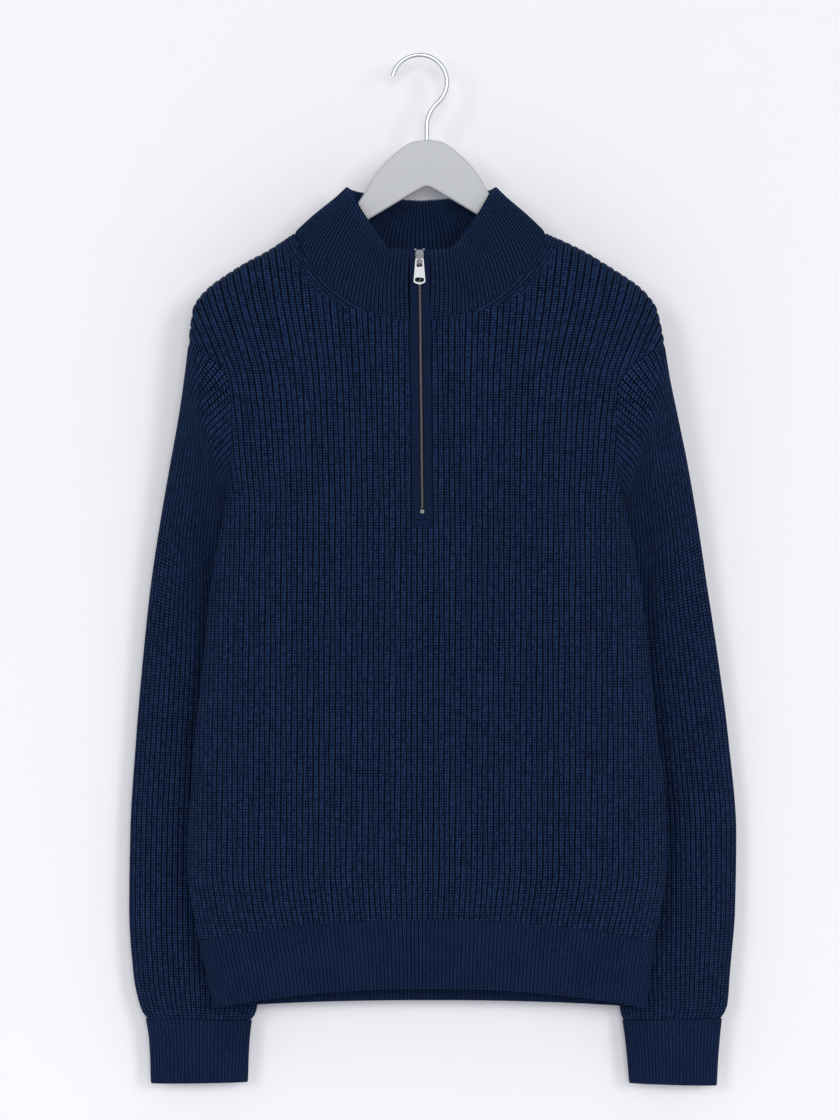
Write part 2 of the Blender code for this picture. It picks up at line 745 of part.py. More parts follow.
def slider_piece(collar, metal):
    """Front plate with its bridge, back plate, and the post between them, as one casting."""
    y = float(front_line(collar, (SLIDER_TOP_Z + SLIDER_END_Z) / 2))
    half = [(x, SLIDER_TOP_Z + drop) for x, drop in SLIDER_OUTLINE]
    outline = half + [(-x, z) for x, z in reversed(half)]
    front = plate("zip_slider", outline, [y + v for v in SLIDER_FRONT_Y], metal)
    back = plate("slider_back", outline, [y + v for v in SLIDER_BACK_Y], metal)
    post_y = (y + SLIDER_FRONT_Y[1] - 0.4, y + SLIDER_BACK_Y[0] + 0.4)
    post = box("slider_post", (-POST_HALF, POST_HALF), post_y, POST_Z, metal)
    wide = (-BRIDGE_HALF, BRIDGE_HALF)
    bridge = box("slider_bridge", wide, [y + v for v in BRIDGE_Y], BRIDGE_Z, metal)
    wider = (-BRIDGE_HALF - 1, BRIDGE_HALF + 1)
    hole = box("bridge_hole", wider, [y + v for v in BRIDGE_HOLE_Y], BRIDGE_HOLE_Z, metal)
    bridge = combine(bridge, "DIFFERENCE", hole)
    return combine(front, "UNION", bridge, post, back)


def pull_piece(collar, metal):
    """The pull tab hangs from its top bar, which lies in the slider's bridge."""
    y = float(front_line(collar, (SLIDER_TOP_Z + SLIDER_END_Z) / 2)) + PULL_AXIS_Y
    half = PULL_THICK / 2
    right = [
        (PULL_TOP_HALF - 0.5, half),
        (PULL_TOP_HALF, half - 0.6),
        (PULL_LOW_HALF, PULL_SIDE_END),
        (PULL_LOW_HALF - 0.8, PULL_SIDE_END - 0.7),
        (0.8, PULL_POINT + 0.1),
    ]
    outline = right + [(-x, z) for x, z in reversed(right)]
    pull = plate("zip_pull", outline, (-half, half), metal)
    wider = (-half - 1, half + 1)
    hole = box("pull_hole", (-PULL_HOLE_HALF, PULL_HOLE_HALF), wider, PULL_HOLE_Z, metal)
    slot_outline = list(PULL_SLOT) + [(-x, z) for x, z in PULL_SLOT[-2::-1]]
    slot = plate("pull_slot", slot_outline, wider, metal)
    combine(pull, "DIFFERENCE", hole, slot)
    pull.location = (0, MM * y, MM * PULL_AXIS_Z)
    return pull


def hanger_piece(plastic):
    """The hanger's outline, extruded, its edges rounded, with a socket for the hook."""
    reach = column(HANGER_TOP, HANGER_COLUMNS, "reach")
    height = column(HANGER_TOP, HANGER_COLUMNS, "z")
    top = list(zip(reach, height))
    end = reach[-1]
    under = []
    for r in (end, end - 2.5, *HANGER_UNDER_REACHES):
        soft = sqrt(r * r + HANGER_UNDER_ROUND**2) - HANGER_UNDER_ROUND
        under.append((r, HANGER_UNDER_Z - HANGER_UNDER_SLOPE * soft))
    under[0] = (end, under[0][1] + 4)
    right = top[1:] + under
    outline = [(HANGER_X + x, z) for x, z in right] + [(HANGER_X, HANGER_UNDER_Z)]
    outline += [(HANGER_X - x, z) for x, z in reversed(right)] + [(HANGER_X, top[0][1])]
    hanger = plate("hanger", outline, (-HANGER_HALF, HANGER_HALF), plastic)
    rounded = hanger.modifiers.new("edges", "BEVEL")
    rounded.width = HANGER_EDGE * MM
    rounded.segments = 2
    rounded.limit_method = "ANGLE"
    rounded.angle_limit = radians(60)
    graph = bpy.context.evaluated_depsgraph_get()
    done = bpy.data.meshes.new_from_object(hanger.evaluated_get(graph))
    hanger.modifiers.clear()
    hanger.data = done
    socket = HOOK_WIRE / 2 + GAP
    turn = [2 * pi * i / SOCKET_SIDES for i in range(SOCKET_SIDES)]
    heights = (HOOK_SOCKET_Z, HANGER_TOP[0][1] + 3)
    points = [(HANGER_X + socket * cos(a), socket * sin(a), z) for z in heights for a in turn]
    faces = [tuple(range(SOCKET_SIDES)), tuple(range(SOCKET_SIDES, 2 * SOCKET_SIDES))]
    for i in range(SOCKET_SIDES):
        j = (i + 1) % SOCKET_SIDES
        faces.append((i, j, SOCKET_SIDES + j, SOCKET_SIDES + i))
    cutter = make_object("hook_socket", points, faces, plastic, smooth=False)
    return combine(hanger, "DIFFERENCE", cutter)


def hook_route():
    """The wire's centre line: round the rail, back round a second bend, then straight down."""
    top = HOOK_WIRE / 2
    first = np.array([0.0, top - HOOK_RADIUS])
    across = HANGER_X + HOOK_BEND_RADIUS
    rise = sqrt((HOOK_RADIUS + HOOK_BEND_RADIUS) ** 2 - across**2)
    second = np.array([across, first[1] - rise])
    meet = atan2(second[1] - first[1], second[0] - first[0])
    points = []
    for a in np.linspace(radians(HOOK_TIP_ANGLE), meet, 26):
        points.append(first + HOOK_RADIUS * np.array([cos(a), sin(a)]))
    for a in np.linspace(meet + pi, pi, 9)[1:]:
        points.append(second + HOOK_BEND_RADIUS * np.array([cos(a), sin(a)]))
    points.append(np.array([HANGER_X, second[1] - 8]))
    points.append(np.array([HANGER_X, HOOK_SOCKET_Z + GAP]))
    return [(x, 0.0, z) for x, z in points]


def hook_piece(wire):
    """The hook as a curve with a round section and filled ends."""
    curve = bpy.data.curves.new("hanger_hook", "CURVE")
    curve.dimensions = "3D"
    curve.bevel_depth = MM * HOOK_WIRE / 2
    curve.bevel_resolution = 3
    curve.use_fill_caps = True
    route = hook_route()
    line = curve.splines.new("POLY")
    line.points.add(len(route) - 1)
    for point, place in zip(line.points, route):
        point.co = (*(MM * c for c in place), 1)
    curve.materials.append(wire)
    made = bpy.data.objects.new("hanger_hook", curve)
    bpy.context.scene.collection.objects.link(made)
    return made


def main():
    for old in list(bpy.data.objects):
        bpy.data.objects.remove(old)
    yarn = material("navy_rib_knit", NAVY, 0.9)
    tape = material("navy_zip_tape", NAVY_TAPE, 0.8)
    metal = material("satin_nickel", NICKEL, 0.3, 1.0)
    plastic = material("grey_moulded_plastic", HANGER_GREY, 0.5)
    wire = material("zinc_plated_wire", WIRE, 0.3, 1.0)
    grids = body_pieces(yarn)
    sleeve_pieces(grids, yarn)
    collar = collar_piece(grids, yarn)
    zip_pieces(collar, yarn, tape, metal)
    slider_piece(collar, metal)
    pull_piece(collar, metal)
    hanger_piece(plastic)
    hook_piece(wire)


main()
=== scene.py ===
# %% [markdown]
# # A quarter zip sweater in rib knit, on its hanger
# This file dresses a measured model of a sweater. The measured model, called the frame, is a
# set of plain solids made in CAD, in metres, with Z up. The front of the sweater looks
# towards -Y, the wearer's right sleeve is at -X, and the origin is the inside of the hook.
# Each cell below makes one piece or one finish, and the text before it says what the real
# thing is and why it is made this way here.

from math import atan2, cos, pi, radians, sin, sqrt

import bmesh
import bpy
import numpy as np
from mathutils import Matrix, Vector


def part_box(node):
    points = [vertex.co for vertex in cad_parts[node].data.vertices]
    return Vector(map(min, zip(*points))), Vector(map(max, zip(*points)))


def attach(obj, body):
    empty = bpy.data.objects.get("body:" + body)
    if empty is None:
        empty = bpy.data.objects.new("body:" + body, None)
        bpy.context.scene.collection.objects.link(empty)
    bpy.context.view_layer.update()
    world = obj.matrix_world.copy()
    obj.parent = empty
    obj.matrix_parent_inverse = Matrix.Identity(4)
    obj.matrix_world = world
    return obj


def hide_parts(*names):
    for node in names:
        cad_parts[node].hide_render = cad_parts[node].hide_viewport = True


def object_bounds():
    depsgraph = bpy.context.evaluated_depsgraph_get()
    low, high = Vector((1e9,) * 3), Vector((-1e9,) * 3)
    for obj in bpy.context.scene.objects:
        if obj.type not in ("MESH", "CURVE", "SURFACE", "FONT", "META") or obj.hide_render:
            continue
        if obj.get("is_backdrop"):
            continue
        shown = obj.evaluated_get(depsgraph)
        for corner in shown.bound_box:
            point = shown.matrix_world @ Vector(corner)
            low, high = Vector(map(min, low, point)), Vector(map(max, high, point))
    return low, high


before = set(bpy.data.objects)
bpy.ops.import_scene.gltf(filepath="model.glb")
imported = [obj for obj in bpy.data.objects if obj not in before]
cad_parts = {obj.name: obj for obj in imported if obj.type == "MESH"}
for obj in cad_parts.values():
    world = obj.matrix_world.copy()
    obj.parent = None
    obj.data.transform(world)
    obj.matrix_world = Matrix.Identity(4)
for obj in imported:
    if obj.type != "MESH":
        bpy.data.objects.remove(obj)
cad_low, cad_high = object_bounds()
MM = 0.001
print("frame box in metres:", [round(c, 3) for c in cad_low], [round(c, 3) for c in cad_high])

# %% [markdown]
# ## Colours and nodes
# Colours are given as sRGB hex values, but a renderer adds light in linear values, so
# one function converts them. A second small function adds a shader node, sets its options
# and fills its inputs: an input that is another node's output becomes a link.

# %% Two helpers for materials


def linear(hex_colour):
    """An sRGB hex colour as linear red, green, blue and alpha."""
    parts = [int(hex_colour[i : i + 2], 16) / 255 for i in (1, 3, 5)]
    return (*(c / 12.92 if c <= 0.04045 else ((c + 0.055) / 1.055) ** 2.4 for c in parts), 1.0)


def add(tree, kind, inputs=None, **settings):
    """One shader node. inputs maps a socket's name or number to a value or another output."""
    node = tree.nodes.new(kind)
    for name, value in settings.items():
        setattr(node, name, value)
    for key, value in (inputs or {}).items():
        socket = node.inputs[key]
        if isinstance(value, bpy.types.NodeSocket):
            tree.links.new(value, socket)
        else:
            socket.default_value = value
    return node


def new_material(name, **shader_values):
    """A material with a Principled shader, whose sockets take the values given."""
    material = bpy.data.materials.new(name)
    material.use_nodes = True
    shader = material.node_tree.nodes["Principled BSDF"]
    for key, value in shader_values.items():
        shader.inputs[key.replace("_", " ")].default_value = value
    return material, material.node_tree, shader


print("linear navy:", [round(c, 4) for c in linear("#1B2C50")])

# %% [markdown]
# ## Rib-knit yarn
# The cloth is a half-cardigan rib in a heathered navy cotton yarn: thick upright ribs about
# 4.9 mm apart with a narrow dark groove between them, each rib a stack of V-shaped stitches
# about 2.5 mm tall. Ribs are big enough to model, so they are in the mesh. Stitches are too
# small for that and are drawn by this material, as bump and as painted shade: the colour
# darkens in the grooves, along the line where a V's legs meet and between stitches. It reads
# a UV map whose u counts ribs and whose v counts stitches, so every stitch stays on its rib
# however the cloth bends.
#
# Cotton is a matt dielectric: roughness near 1, an IOR of 1.5 with little gloss, and a
# weak sheen from loose fibres. Heathered means that light and dark fibres are spun together,
# so each stitch gets its own small change of brightness.

# %% Yarn material
STITCH_SLANT = 0.5  # how far a V's arms rise from its middle, in stitches
GROOVE_SHADE = (0.45, 0.98)  # where the painted groove shade starts and is darkest: 0 is a rib's crest, 1 its edge
CREST_SHADE = (0.0, 0.32)  # the fine line of painted shade where a V's two legs meet, on the same scale
FIBRE_SCALE, BATCH_SCALE = 620.0, 26.0  # noise of single fibres, and of whole areas of yarn
TONE_GAIN, TONE_MIDDLE = 1.75, 0.96
FOLD_HIGHLIGHT_REACH, FOLD_HIGHLIGHT = 5.0, 0.22  # stitches over which the painted highlight fades in below the fold, and how much lighter it paints them


def knit(name, shades, stitch_depth=0.0007, contrast=1.0, uneven=1.0, courses=1.0, fold=None):
    """Heathered yarn in ribs, with painted shade in its grooves and between stitches. shades run from
    the groove's painted shade to the lightest fibre's.
    """
    material, tree, shader = new_material(name, Roughness=0.92, IOR=1.5)
    shader.inputs["Specular IOR Level"].default_value = 0.08
    shader.inputs["Sheen Weight"].default_value = 0.06
    shader.inputs["Sheen Roughness"].default_value = 0.45
    shader.inputs["Sheen Tint"].default_value = linear("#5F77A6")

    def math(operation, *values, clamp=False):
        """A sum on sockets and numbers."""
        inputs = dict(enumerate(values))
        return add(tree, "ShaderNodeMath", inputs, operation=operation, use_clamp=clamp).outputs[0]

    uv = add(tree, "ShaderNodeUVMap", uv_map="knit").outputs[0]
    split = add(tree, "ShaderNodeSeparateXYZ", {0: uv})
    rib, course = split.outputs[0], split.outputs[1]
    off_crest = math("ABSOLUTE", math("MULTIPLY_ADD", math("FRACT", rib), 2.0, -1.0))

    def step(value, low, high):
        """0 below low, 1 above high, and a soft step between."""
        inputs = {"Value": value, "From Min": low, "From Max": high}
        return add(tree, "ShaderNodeMapRange", inputs, interpolation_type="SMOOTHSTEP").outputs[0]

    # Each stitch is a V. Its two legs meet at the crest and rise towards the grooves.
    slanted = math("MULTIPLY_ADD", off_crest, STITCH_SLANT, course)
    from_middle = math("MULTIPLY_ADD", math("FRACT", slanted), 2.0, -1.0)
    loop = math("SUBTRACT", 1.0, math("MULTIPLY", from_middle, from_middle))
    leg = add(
        tree,
        "ShaderNodeCombineXYZ",
        {0: math("FLOOR", math("MULTIPLY", rib, 2.0)), 1: math("FLOOR", slanted)},
    ).outputs[0]
    each = add(tree, "ShaderNodeTexWhiteNoise", {"Vector": leg}, noise_dimensions="2D").outputs[0]
    place = add(tree, "ShaderNodeTexCoord").outputs["Object"]
    fibre, batch = (
        add(tree, "ShaderNodeTexNoise", {"Vector": place, "Scale": scale, "Detail": 3.0}).outputs[0]
        for scale in (FIBRE_SCALE, BATCH_SCALE)
    )
    # Painted shade: the colour darkens in the grooves, along the line where a V's legs meet and between
    # stitches, where the knit's relief lies in shade. The same rise also drives the bump.
    broken = math("SUBTRACT", math("MULTIPLY_ADD", each, 0.6, 0.85), math("MULTIPLY", loop, 0.42))
    groove = math("MULTIPLY", step(off_crest, *GROOVE_SHADE), broken, clamp=True)
    crest_shade = math("MULTIPLY_ADD", step(off_crest, *CREST_SHADE), 0.6, 0.4)
    legs = math("MULTIPLY", math("SUBTRACT", 1.0, groove, clamp=True), crest_shade)
    rows = math("MULTIPLY_ADD", loop, 0.95 * courses, 1 - 0.95 * courses)
    rise = math("MULTIPLY", legs, rows)
    each_tone = math("MULTIPLY_ADD", each, 0.8 * uneven, 0.4 * (1 - uneven))
    heather = math("ADD", each_tone, math("MULTIPLY", fibre, 0.5))
    heather = math("ADD", heather, math("MULTIPLY", batch, 0.25))
    tone = math("MULTIPLY_ADD", rise, TONE_GAIN * contrast, TONE_GAIN * (1 - contrast) * 0.5)
    if fold is not None:  # a painted highlight along the collar's folded top edge
        fold_highlight = step(course, fold - FOLD_HIGHLIGHT_REACH, fold)
        tone = math("ADD", tone, math("MULTIPLY", fold_highlight, FOLD_HIGHLIGHT))
    tone = math("ADD", tone, math("SUBTRACT", heather, TONE_MIDDLE), clamp=True)
    ramp = add(tree, "ShaderNodeValToRGB", {0: tone})
    stops = ramp.color_ramp.elements
    stops[0].color, stops[1].color = linear(shades[0]), linear(shades[-1])
    for i, shade in enumerate(shades[1:-1], 1):
        stops.new(i / (len(shades) - 1)).color = linear(shade)
    height = math("ADD", math("MULTIPLY", rise, 0.8), math("MULTIPLY", fibre, 0.35))
    bump = add(
        tree, "ShaderNodeBump", {"Strength": 0.9, "Distance": stitch_depth, "Height": height}
    )
    tree.links.new(ramp.outputs[0], shader.inputs["Base Color"])
    tree.links.new(bump.outputs[0], shader.inputs["Normal"])
    return material


# Each list of shades runs from the painted shade in a groove to the lightest fibre.
NAVY_SHADES = ("#01040F", "#040B21", "#0A1632", "#1C3154")
FINE_SHADES = ("#01040F", "#030920", "#07122C", "#162746")
FOLD_COURSE = 26.5  # stitches from the neck seam to the collar's folded top edge
BAND_SHADES = ("#030A1E", "#07122B", "#0C1933", "#142341")
chunky_rib = knit("cotton_chunky_rib", NAVY_SHADES)
# The collar's rib carries a painted highlight along its folded top edge.
collar_rib = knit("cotton_collar_rib", NAVY_SHADES, contrast=1.5, fold=FOLD_COURSE)
fine_rib = knit(
    "cotton_fine_rib", FINE_SHADES, stitch_depth=0.0003, contrast=0.65, uneven=0.45, courses=0.45
)
flat_knit = knit("cotton_flat_knit", BAND_SHADES, stitch_depth=0.0002, contrast=0.5, uneven=0.4)
print("yarn materials:", [m.name for m in (chunky_rib, collar_rib, fine_rib, flat_knit)])

# %% [markdown]
# ## The body's form
# The front and back are one form, like a flattened tube. Short tables give its outline and
# depth at a few heights, and a curve that never overshoots joins them. These are the same
# measures, in millimetres, that the CAD solids have, so each visible piece lies on its solid.

# %% Body tables
BODY_COLUMNS = ("z", "left", "right", "front", "back")
BODY_SECTIONS = (
    (-858, -186, 204.5, 32, 14),
    (-828, -192, 208, 34, 15),
    (-797, -199, 212, 37, 17),
    (-765, -205, 218, 41, 19),
    (-737, -209, 222.5, 42, 20),
    (-700, -208.5, 222.5, 42, 20),
    (-655, -205.5, 220, 42, 20),
    (-600, -201, 213, 41, 20),
    (-542, -194.5, 206.5, 40, 20),
    (-492, -190, 201.5, 39, 19),
    (-450, -184, 195, 38, 19),
    (-400, -176, 186, 37, 18),
    (-385, -184, 195, 37, 18),
    (-360, -203, 213, 36, 18),
    (-330, -213, 227, 36, 18),
    (-300, -213.5, 226.5, 35, 19),
    (-258, -208.5, 221, 33, 20),
    (-241, -206.5, 217.5, 31.5, 20),
    (-226, -204, 213.5, 29.5, 20),
    (-217, -198.5, 207.5, 28, 20),
    (-208, -190, 199, 26.5, 20),
    (-195, -172, 180.5, 24, 19.5),
    (-184, -154, 163, 22, 19),
    (-175, -137, 148, 19, 17.5),
    (-159, -113, 114, 13, 13),
)
LIFT_COLUMNS = ("z", "front", "back")
ROW_LIFT = (
    (-858, 18.5, 6),
    (-797, 20, 8),
    (-765, 12, 5),
    (-737, 5, 2),
    (-690, 0, 0),
    (-400, 0, 0),
)
ARMHOLE_COLUMNS = ("z", "left", "right")
ARMHOLE = (
    (-400, -176, 186),
    (-390, -172.5, 181.5),
    (-365, -170, 178.5),
    (-330, -169, 177),
    (-300, -170.5, 178),
    (-287, -174, 184),
    (-277, -183, 194),
    (-266, -197, 209),
    (-258, -208.5, 221),
)
WALL = 2.5
GAP = 0.3  # between pieces that meet at a seam
UNDERARM_Z, SHOULDER_TIP_Z, NECK_POINT_Z = -400.0, -258.0, -159.0
HEM_Z, HEM_BOTTOM_Z = -797.0, -858.0
ZIP_TOP_Z, ZIP_END_Z, ZIP_CUT = -175.0, -424.0, 9.0  # the cut is 9 mm to each side
ZIP_LEAN, ZIP_LEAN_RUN = 2.5, 233.0  # how far it leans, and over what height
FRONT_POWER, BACK_POWER, ARM_POWER = 2.6, 2.1, 2.7
ARM_POWER_Z = (-330.0, -260.0)
NECK_LOW_Z = {"front": -238.0, "back": -177.0}
NECK_POWER = {"front": 2.3, "back": 2.6}
NECK_ROUND = 1.25
NECK_X = (-113.0, 114.0)  # the two neck points, where shoulder seams meet the neckline
print("body rows:", len(BODY_SECTIONS), "armhole rows:", len(ARMHOLE))

# %% [markdown]
# ## Reading the tables
# `through` is a cubic that passes through every row and stays between neighbours, which
# keeps an outline fair. The sections are superellipses, rounder than a box and flatter than
# an ellipse, which is how knitted cloth lies on a hanger.

# %% Form functions


def through(at, values, where):
    """Values on a smooth curve through the rows (at, values). values may hold whole arrays."""
    at, values = np.asarray(at, float), np.asarray(values, float)
    where = np.clip(np.asarray(where, float), at[0], at[-1])
    extra = (1,) * (values.ndim - 1)
    slope = np.diff(values, axis=0) / np.diff(at).reshape((-1, *extra))
    before, after = slope[:-1], slope[1:]
    same = before * after > 0
    inner = np.where(same, 2 * before * after / np.where(same, before + after, 1), 0)
    tangent = np.concatenate([slope[:1], inner, slope[-1:]])
    i = np.clip(np.searchsorted(at, where, side="right") - 1, 0, len(at) - 2)
    step = np.reshape(at[i + 1] - at[i], where.shape + extra)
    s = np.reshape(where - at[i], where.shape + extra) / step
    return (
        values[i] * (1 + 2 * s) * (1 - s) ** 2
        + tangent[i] * step * s * (1 - s) ** 2
        + values[i + 1] * s * s * (3 - 2 * s)
        + tangent[i + 1] * step * s * s * (s - 1)
    )


def from_table(table, names, name, where, by="z"):
    """One named column of a table, read at the heights where."""
    at = [row[names.index(by)] for row in table]
    return through(at, [row[names.index(name)] for row in table], where)


def body(name, z):
    """One measure of the body's section at the heights z."""
    return from_table(BODY_SECTIONS, BODY_COLUMNS, name, z)


def zip_x(z):
    """The zip leans a little towards +X on its way down."""
    return ZIP_LEAN * (ZIP_TOP_Z - np.maximum(z, ZIP_END_Z)) / ZIP_LEAN_RUN


def share_across(x, z):
    """How far x lies from the body's middle: -1 at its left edge and 1 at its right."""
    left, right = body("left", z), body("right", z)
    return np.clip((2 * x - left - right) / (right - left), -1, 1)


def depth(side, x, z):
    """Y of the form's surface at (x, z), on its front or its back."""
    power = FRONT_POWER if side == "front" else np.interp(z, ARM_POWER_Z, (BACK_POWER, ARM_POWER))
    bulge = (1 - np.abs(share_across(x, z)) ** power) ** (1 / power)
    return (-1 if side == "front" else 1) * (GAP / 2 + (body(side, z) - GAP / 2) * bulge)


def neck_z(side, x):
    """Height of the neckline at x, on the front or the back."""
    share = np.clip(np.abs(x) / np.where(x < 0, -NECK_X[0], NECK_X[1]), 0, 1)
    drop = (1 - share ** NECK_POWER[side]) ** (1 / NECK_ROUND)
    return NECK_POINT_Z + (NECK_LOW_Z[side] - NECK_POINT_Z) * drop


def arc(points):
    """Distance along a line of points, from its first."""
    steps = np.linalg.norm(np.diff(points, axis=0), axis=1)
    return np.concatenate([[0], np.cumsum(steps)])


def resample(points, at, where):
    """Points read from a line of points whose places along it are at."""
    return np.stack([np.interp(where, at, points[:, k]) for k in range(points.shape[1])], axis=1)


def smooth(low, high, value):
    """0 below low, 1 above high, and a soft step between."""
    s = np.clip((np.asarray(value, float) - low) / (high - low), 0, 1)
    return s * s * (3 - 2 * s)


print("depth at the chest:", round(float(depth("front", 0.0, -400.0)), 1), "mm")

# %% [markdown]
# ## Where the ribs run
# Ribs hang straight down the body 4.9 mm apart, fan out towards the shoulders, where the
# knitter has added stitches, and draw together into the hem. A panel's columns of vertices
# follow these lines, six to a rib, so each rib is a real rounded ridge and its groove stays
# sharp. Where a rib meets a seam, its columns stop at the seam.

# %% Rib layout
RIB_PITCH = 4.9
FINE_PITCH = 3.5
RIB_COLUMNS = 6
RIB_RELIEF = 1.15
FAN_REACH = 150.0
FAN_COLUMNS = ("z", "spread")  # how far out a rib at FAN_REACH has moved, by height
RIB_FAN = ((-400, 0), (-340, 3), (-292, 8.5), (-256, 19), (-220, 31), (-159, 46))
FAN_POWER, FAN_SLOPE_POWER = 1.9, 0.9  # of the spread, and of its slope
WAVERS = ((0.07, 31.0, 1.7), (0.05, 11.3, 2.9))  # size in ribs, height, and shift from rib to rib


def fanned_back(reach, z):
    """The reach from the middle that a rib at this height has lower down, before it fans out."""
    spread = from_table(RIB_FAN, FAN_COLUMNS, "spread", z)
    low = reach / (1 + spread / FAN_REACH)
    for _ in range(8):  # Newton's steps
        error = low + spread * (low / FAN_REACH) ** FAN_POWER - reach
        slope = 1 + FAN_POWER * spread / FAN_REACH * (low / FAN_REACH) ** FAN_SLOPE_POWER
        low = np.maximum(low - error / slope, 0)
    return low


def waver(rib, z):
    """Hand-sized unevenness of a rib's line, in ribs."""
    return sum(size * np.sin(z / height + rib * shift) for size, height, shift in WAVERS)


def rib_profile(rib, strength=1.0):
    """Height of the cloth across a rib: a broad rounded top and a narrow groove."""
    off_crest = np.abs(2 * np.mod(rib, 1) - 1)
    return strength * (1 - off_crest**3)


print("rib columns across the front:", int(2 * 215 / RIB_PITCH) * RIB_COLUMNS)

# %% [markdown]
# ## Creases
# Heavy rib knit hangs almost flat, with a few long soft swells: below the underarms, across
# the chest beside the zip, and above the hem where the cloth blouses. Each is one row of a
# table: its middle, its direction, its length and width, and its height, where a minus sign
# makes a trough. They are placed one by one and no two match, as on a real garment.

# %% Crease tables
CREASE_COLUMNS = ("x", "z", "turn", "length", "width", "height")
FRONT_CREASES = (
    (-150, -430, 64, 70, 16, -2.4),
    (-128, -420, 58, 80, 20, 1.8),
    (158, -440, -66, 75, 17, -2.6),
    (133, -425, -58, 85, 22, 1.9),
    (-60, -300, 78, 60, 26, 1.2),
    (58, -330, -80, 70, 28, -1.3),
    (-95, -560, 82, 120, 30, 1.6),
    (-20, -520, 8, 60, 22, 1.1),
    (30, -470, -12, 50, 20, -1.0),
    (90, -600, -84, 130, 34, -1.6),
    (-160, -640, 86, 110, 18, 1.8),
    (175, -660, -85, 110, 20, 1.7),
    (-110, -765, 6, 70, 16, 1.6),
    (40, -752, -4, 90, 18, 1.3),
    (150, -768, -9, 60, 15, 1.8),
    (-180, -290, 70, 40, 14, -1.2),
    (188, -300, -72, 42, 15, -1.3),
)
BACK_CREASES = (
    (-140, -440, 66, 80, 18, -1.6),
    (146, -455, -63, 85, 18, -1.7),
    (-20, -330, 84, 110, 34, 1.4),
    (60, -480, -80, 120, 30, -1.2),
    (-90, -620, 85, 120, 32, 1.3),
    (110, -690, -86, 90, 26, 1.2),
    (0, -760, 3, 110, 18, 1.0),
)


def creases(table, x, z):
    """Height of all the table's swells and troughs at (x, z), in millimetres."""
    total = 0.0 * x
    for row in table:
        crease = dict(zip(CREASE_COLUMNS, row))
        turn = radians(crease["turn"])
        along = (x - crease["x"]) * cos(turn) + (z - crease["z"]) * sin(turn)
        across = (z - crease["z"]) * cos(turn) - (x - crease["x"]) * sin(turn)
        shape = np.exp(-((along / crease["length"]) ** 2) - (across / crease["width"]) ** 2)
        total = total + crease["height"] * shape
    return total


print("creases:", len(FRONT_CREASES), "on the front,", len(BACK_CREASES), "on the back")

# %% [markdown]
# ## Cloth as a mesh
# A piece of cloth is built from grids of points. The outer grid carries the ribs; its free
# edges are turned in by the cloth's thickness; and a plainer inner grid lines it, because the
# inside of the body is hardly seen. Where columns stop at a seam their points coincide, and
# merging them leaves clean triangles along the seam.

# %% Cloth mesh builder


def grid_cells(rows, columns, start):
    """Corner numbers of every cell of a grid."""
    r, c = np.meshgrid(np.arange(rows - 1), np.arange(columns - 1), indexing="ij")
    low = (start + r * columns + c).ravel()
    return np.stack([low, low + 1, low + columns + 1, low + columns], axis=1)


def flat_size(rows):
    """(width, length, area) in metres that a form of rows of points has when laid flat."""
    across, along = np.diff(rows, axis=1), np.diff(rows, axis=0)
    width = np.linalg.norm(across, axis=-1).sum(axis=1).max()
    length = np.linalg.norm(along, axis=-1).sum(axis=0).max()
    diagonals = rows[1:, 1:] - rows[:-1, :-1], rows[1:, :-1] - rows[:-1, 1:]
    area = np.linalg.norm(np.cross(*diagonals), axis=-1).sum() / 2
    return float(width * MM), float(length * MM), float(area * MM * MM)


def shell(outer, inner, uv, inner_uv, capped=False):
    """Grids of a closed wall: up the outer rows, down the inner ones and back to the first.

    capped adds a strip at each end, for a band that isn't a ring.
    """
    points = np.concatenate([outer, inner[::-1], outer[:1]])
    uvs = np.concatenate([uv, inner_uv[::-1], uv[:1]])
    grids = [(points, uvs, (), 1)]
    if capped:
        for end in (0, -1):
            ends = np.stack([outer[:, end], inner[:, end]], axis=1)
            grids.append((ends, np.stack([uv[:, end], inner_uv[:, end]], axis=1), (), 1))
    return grids


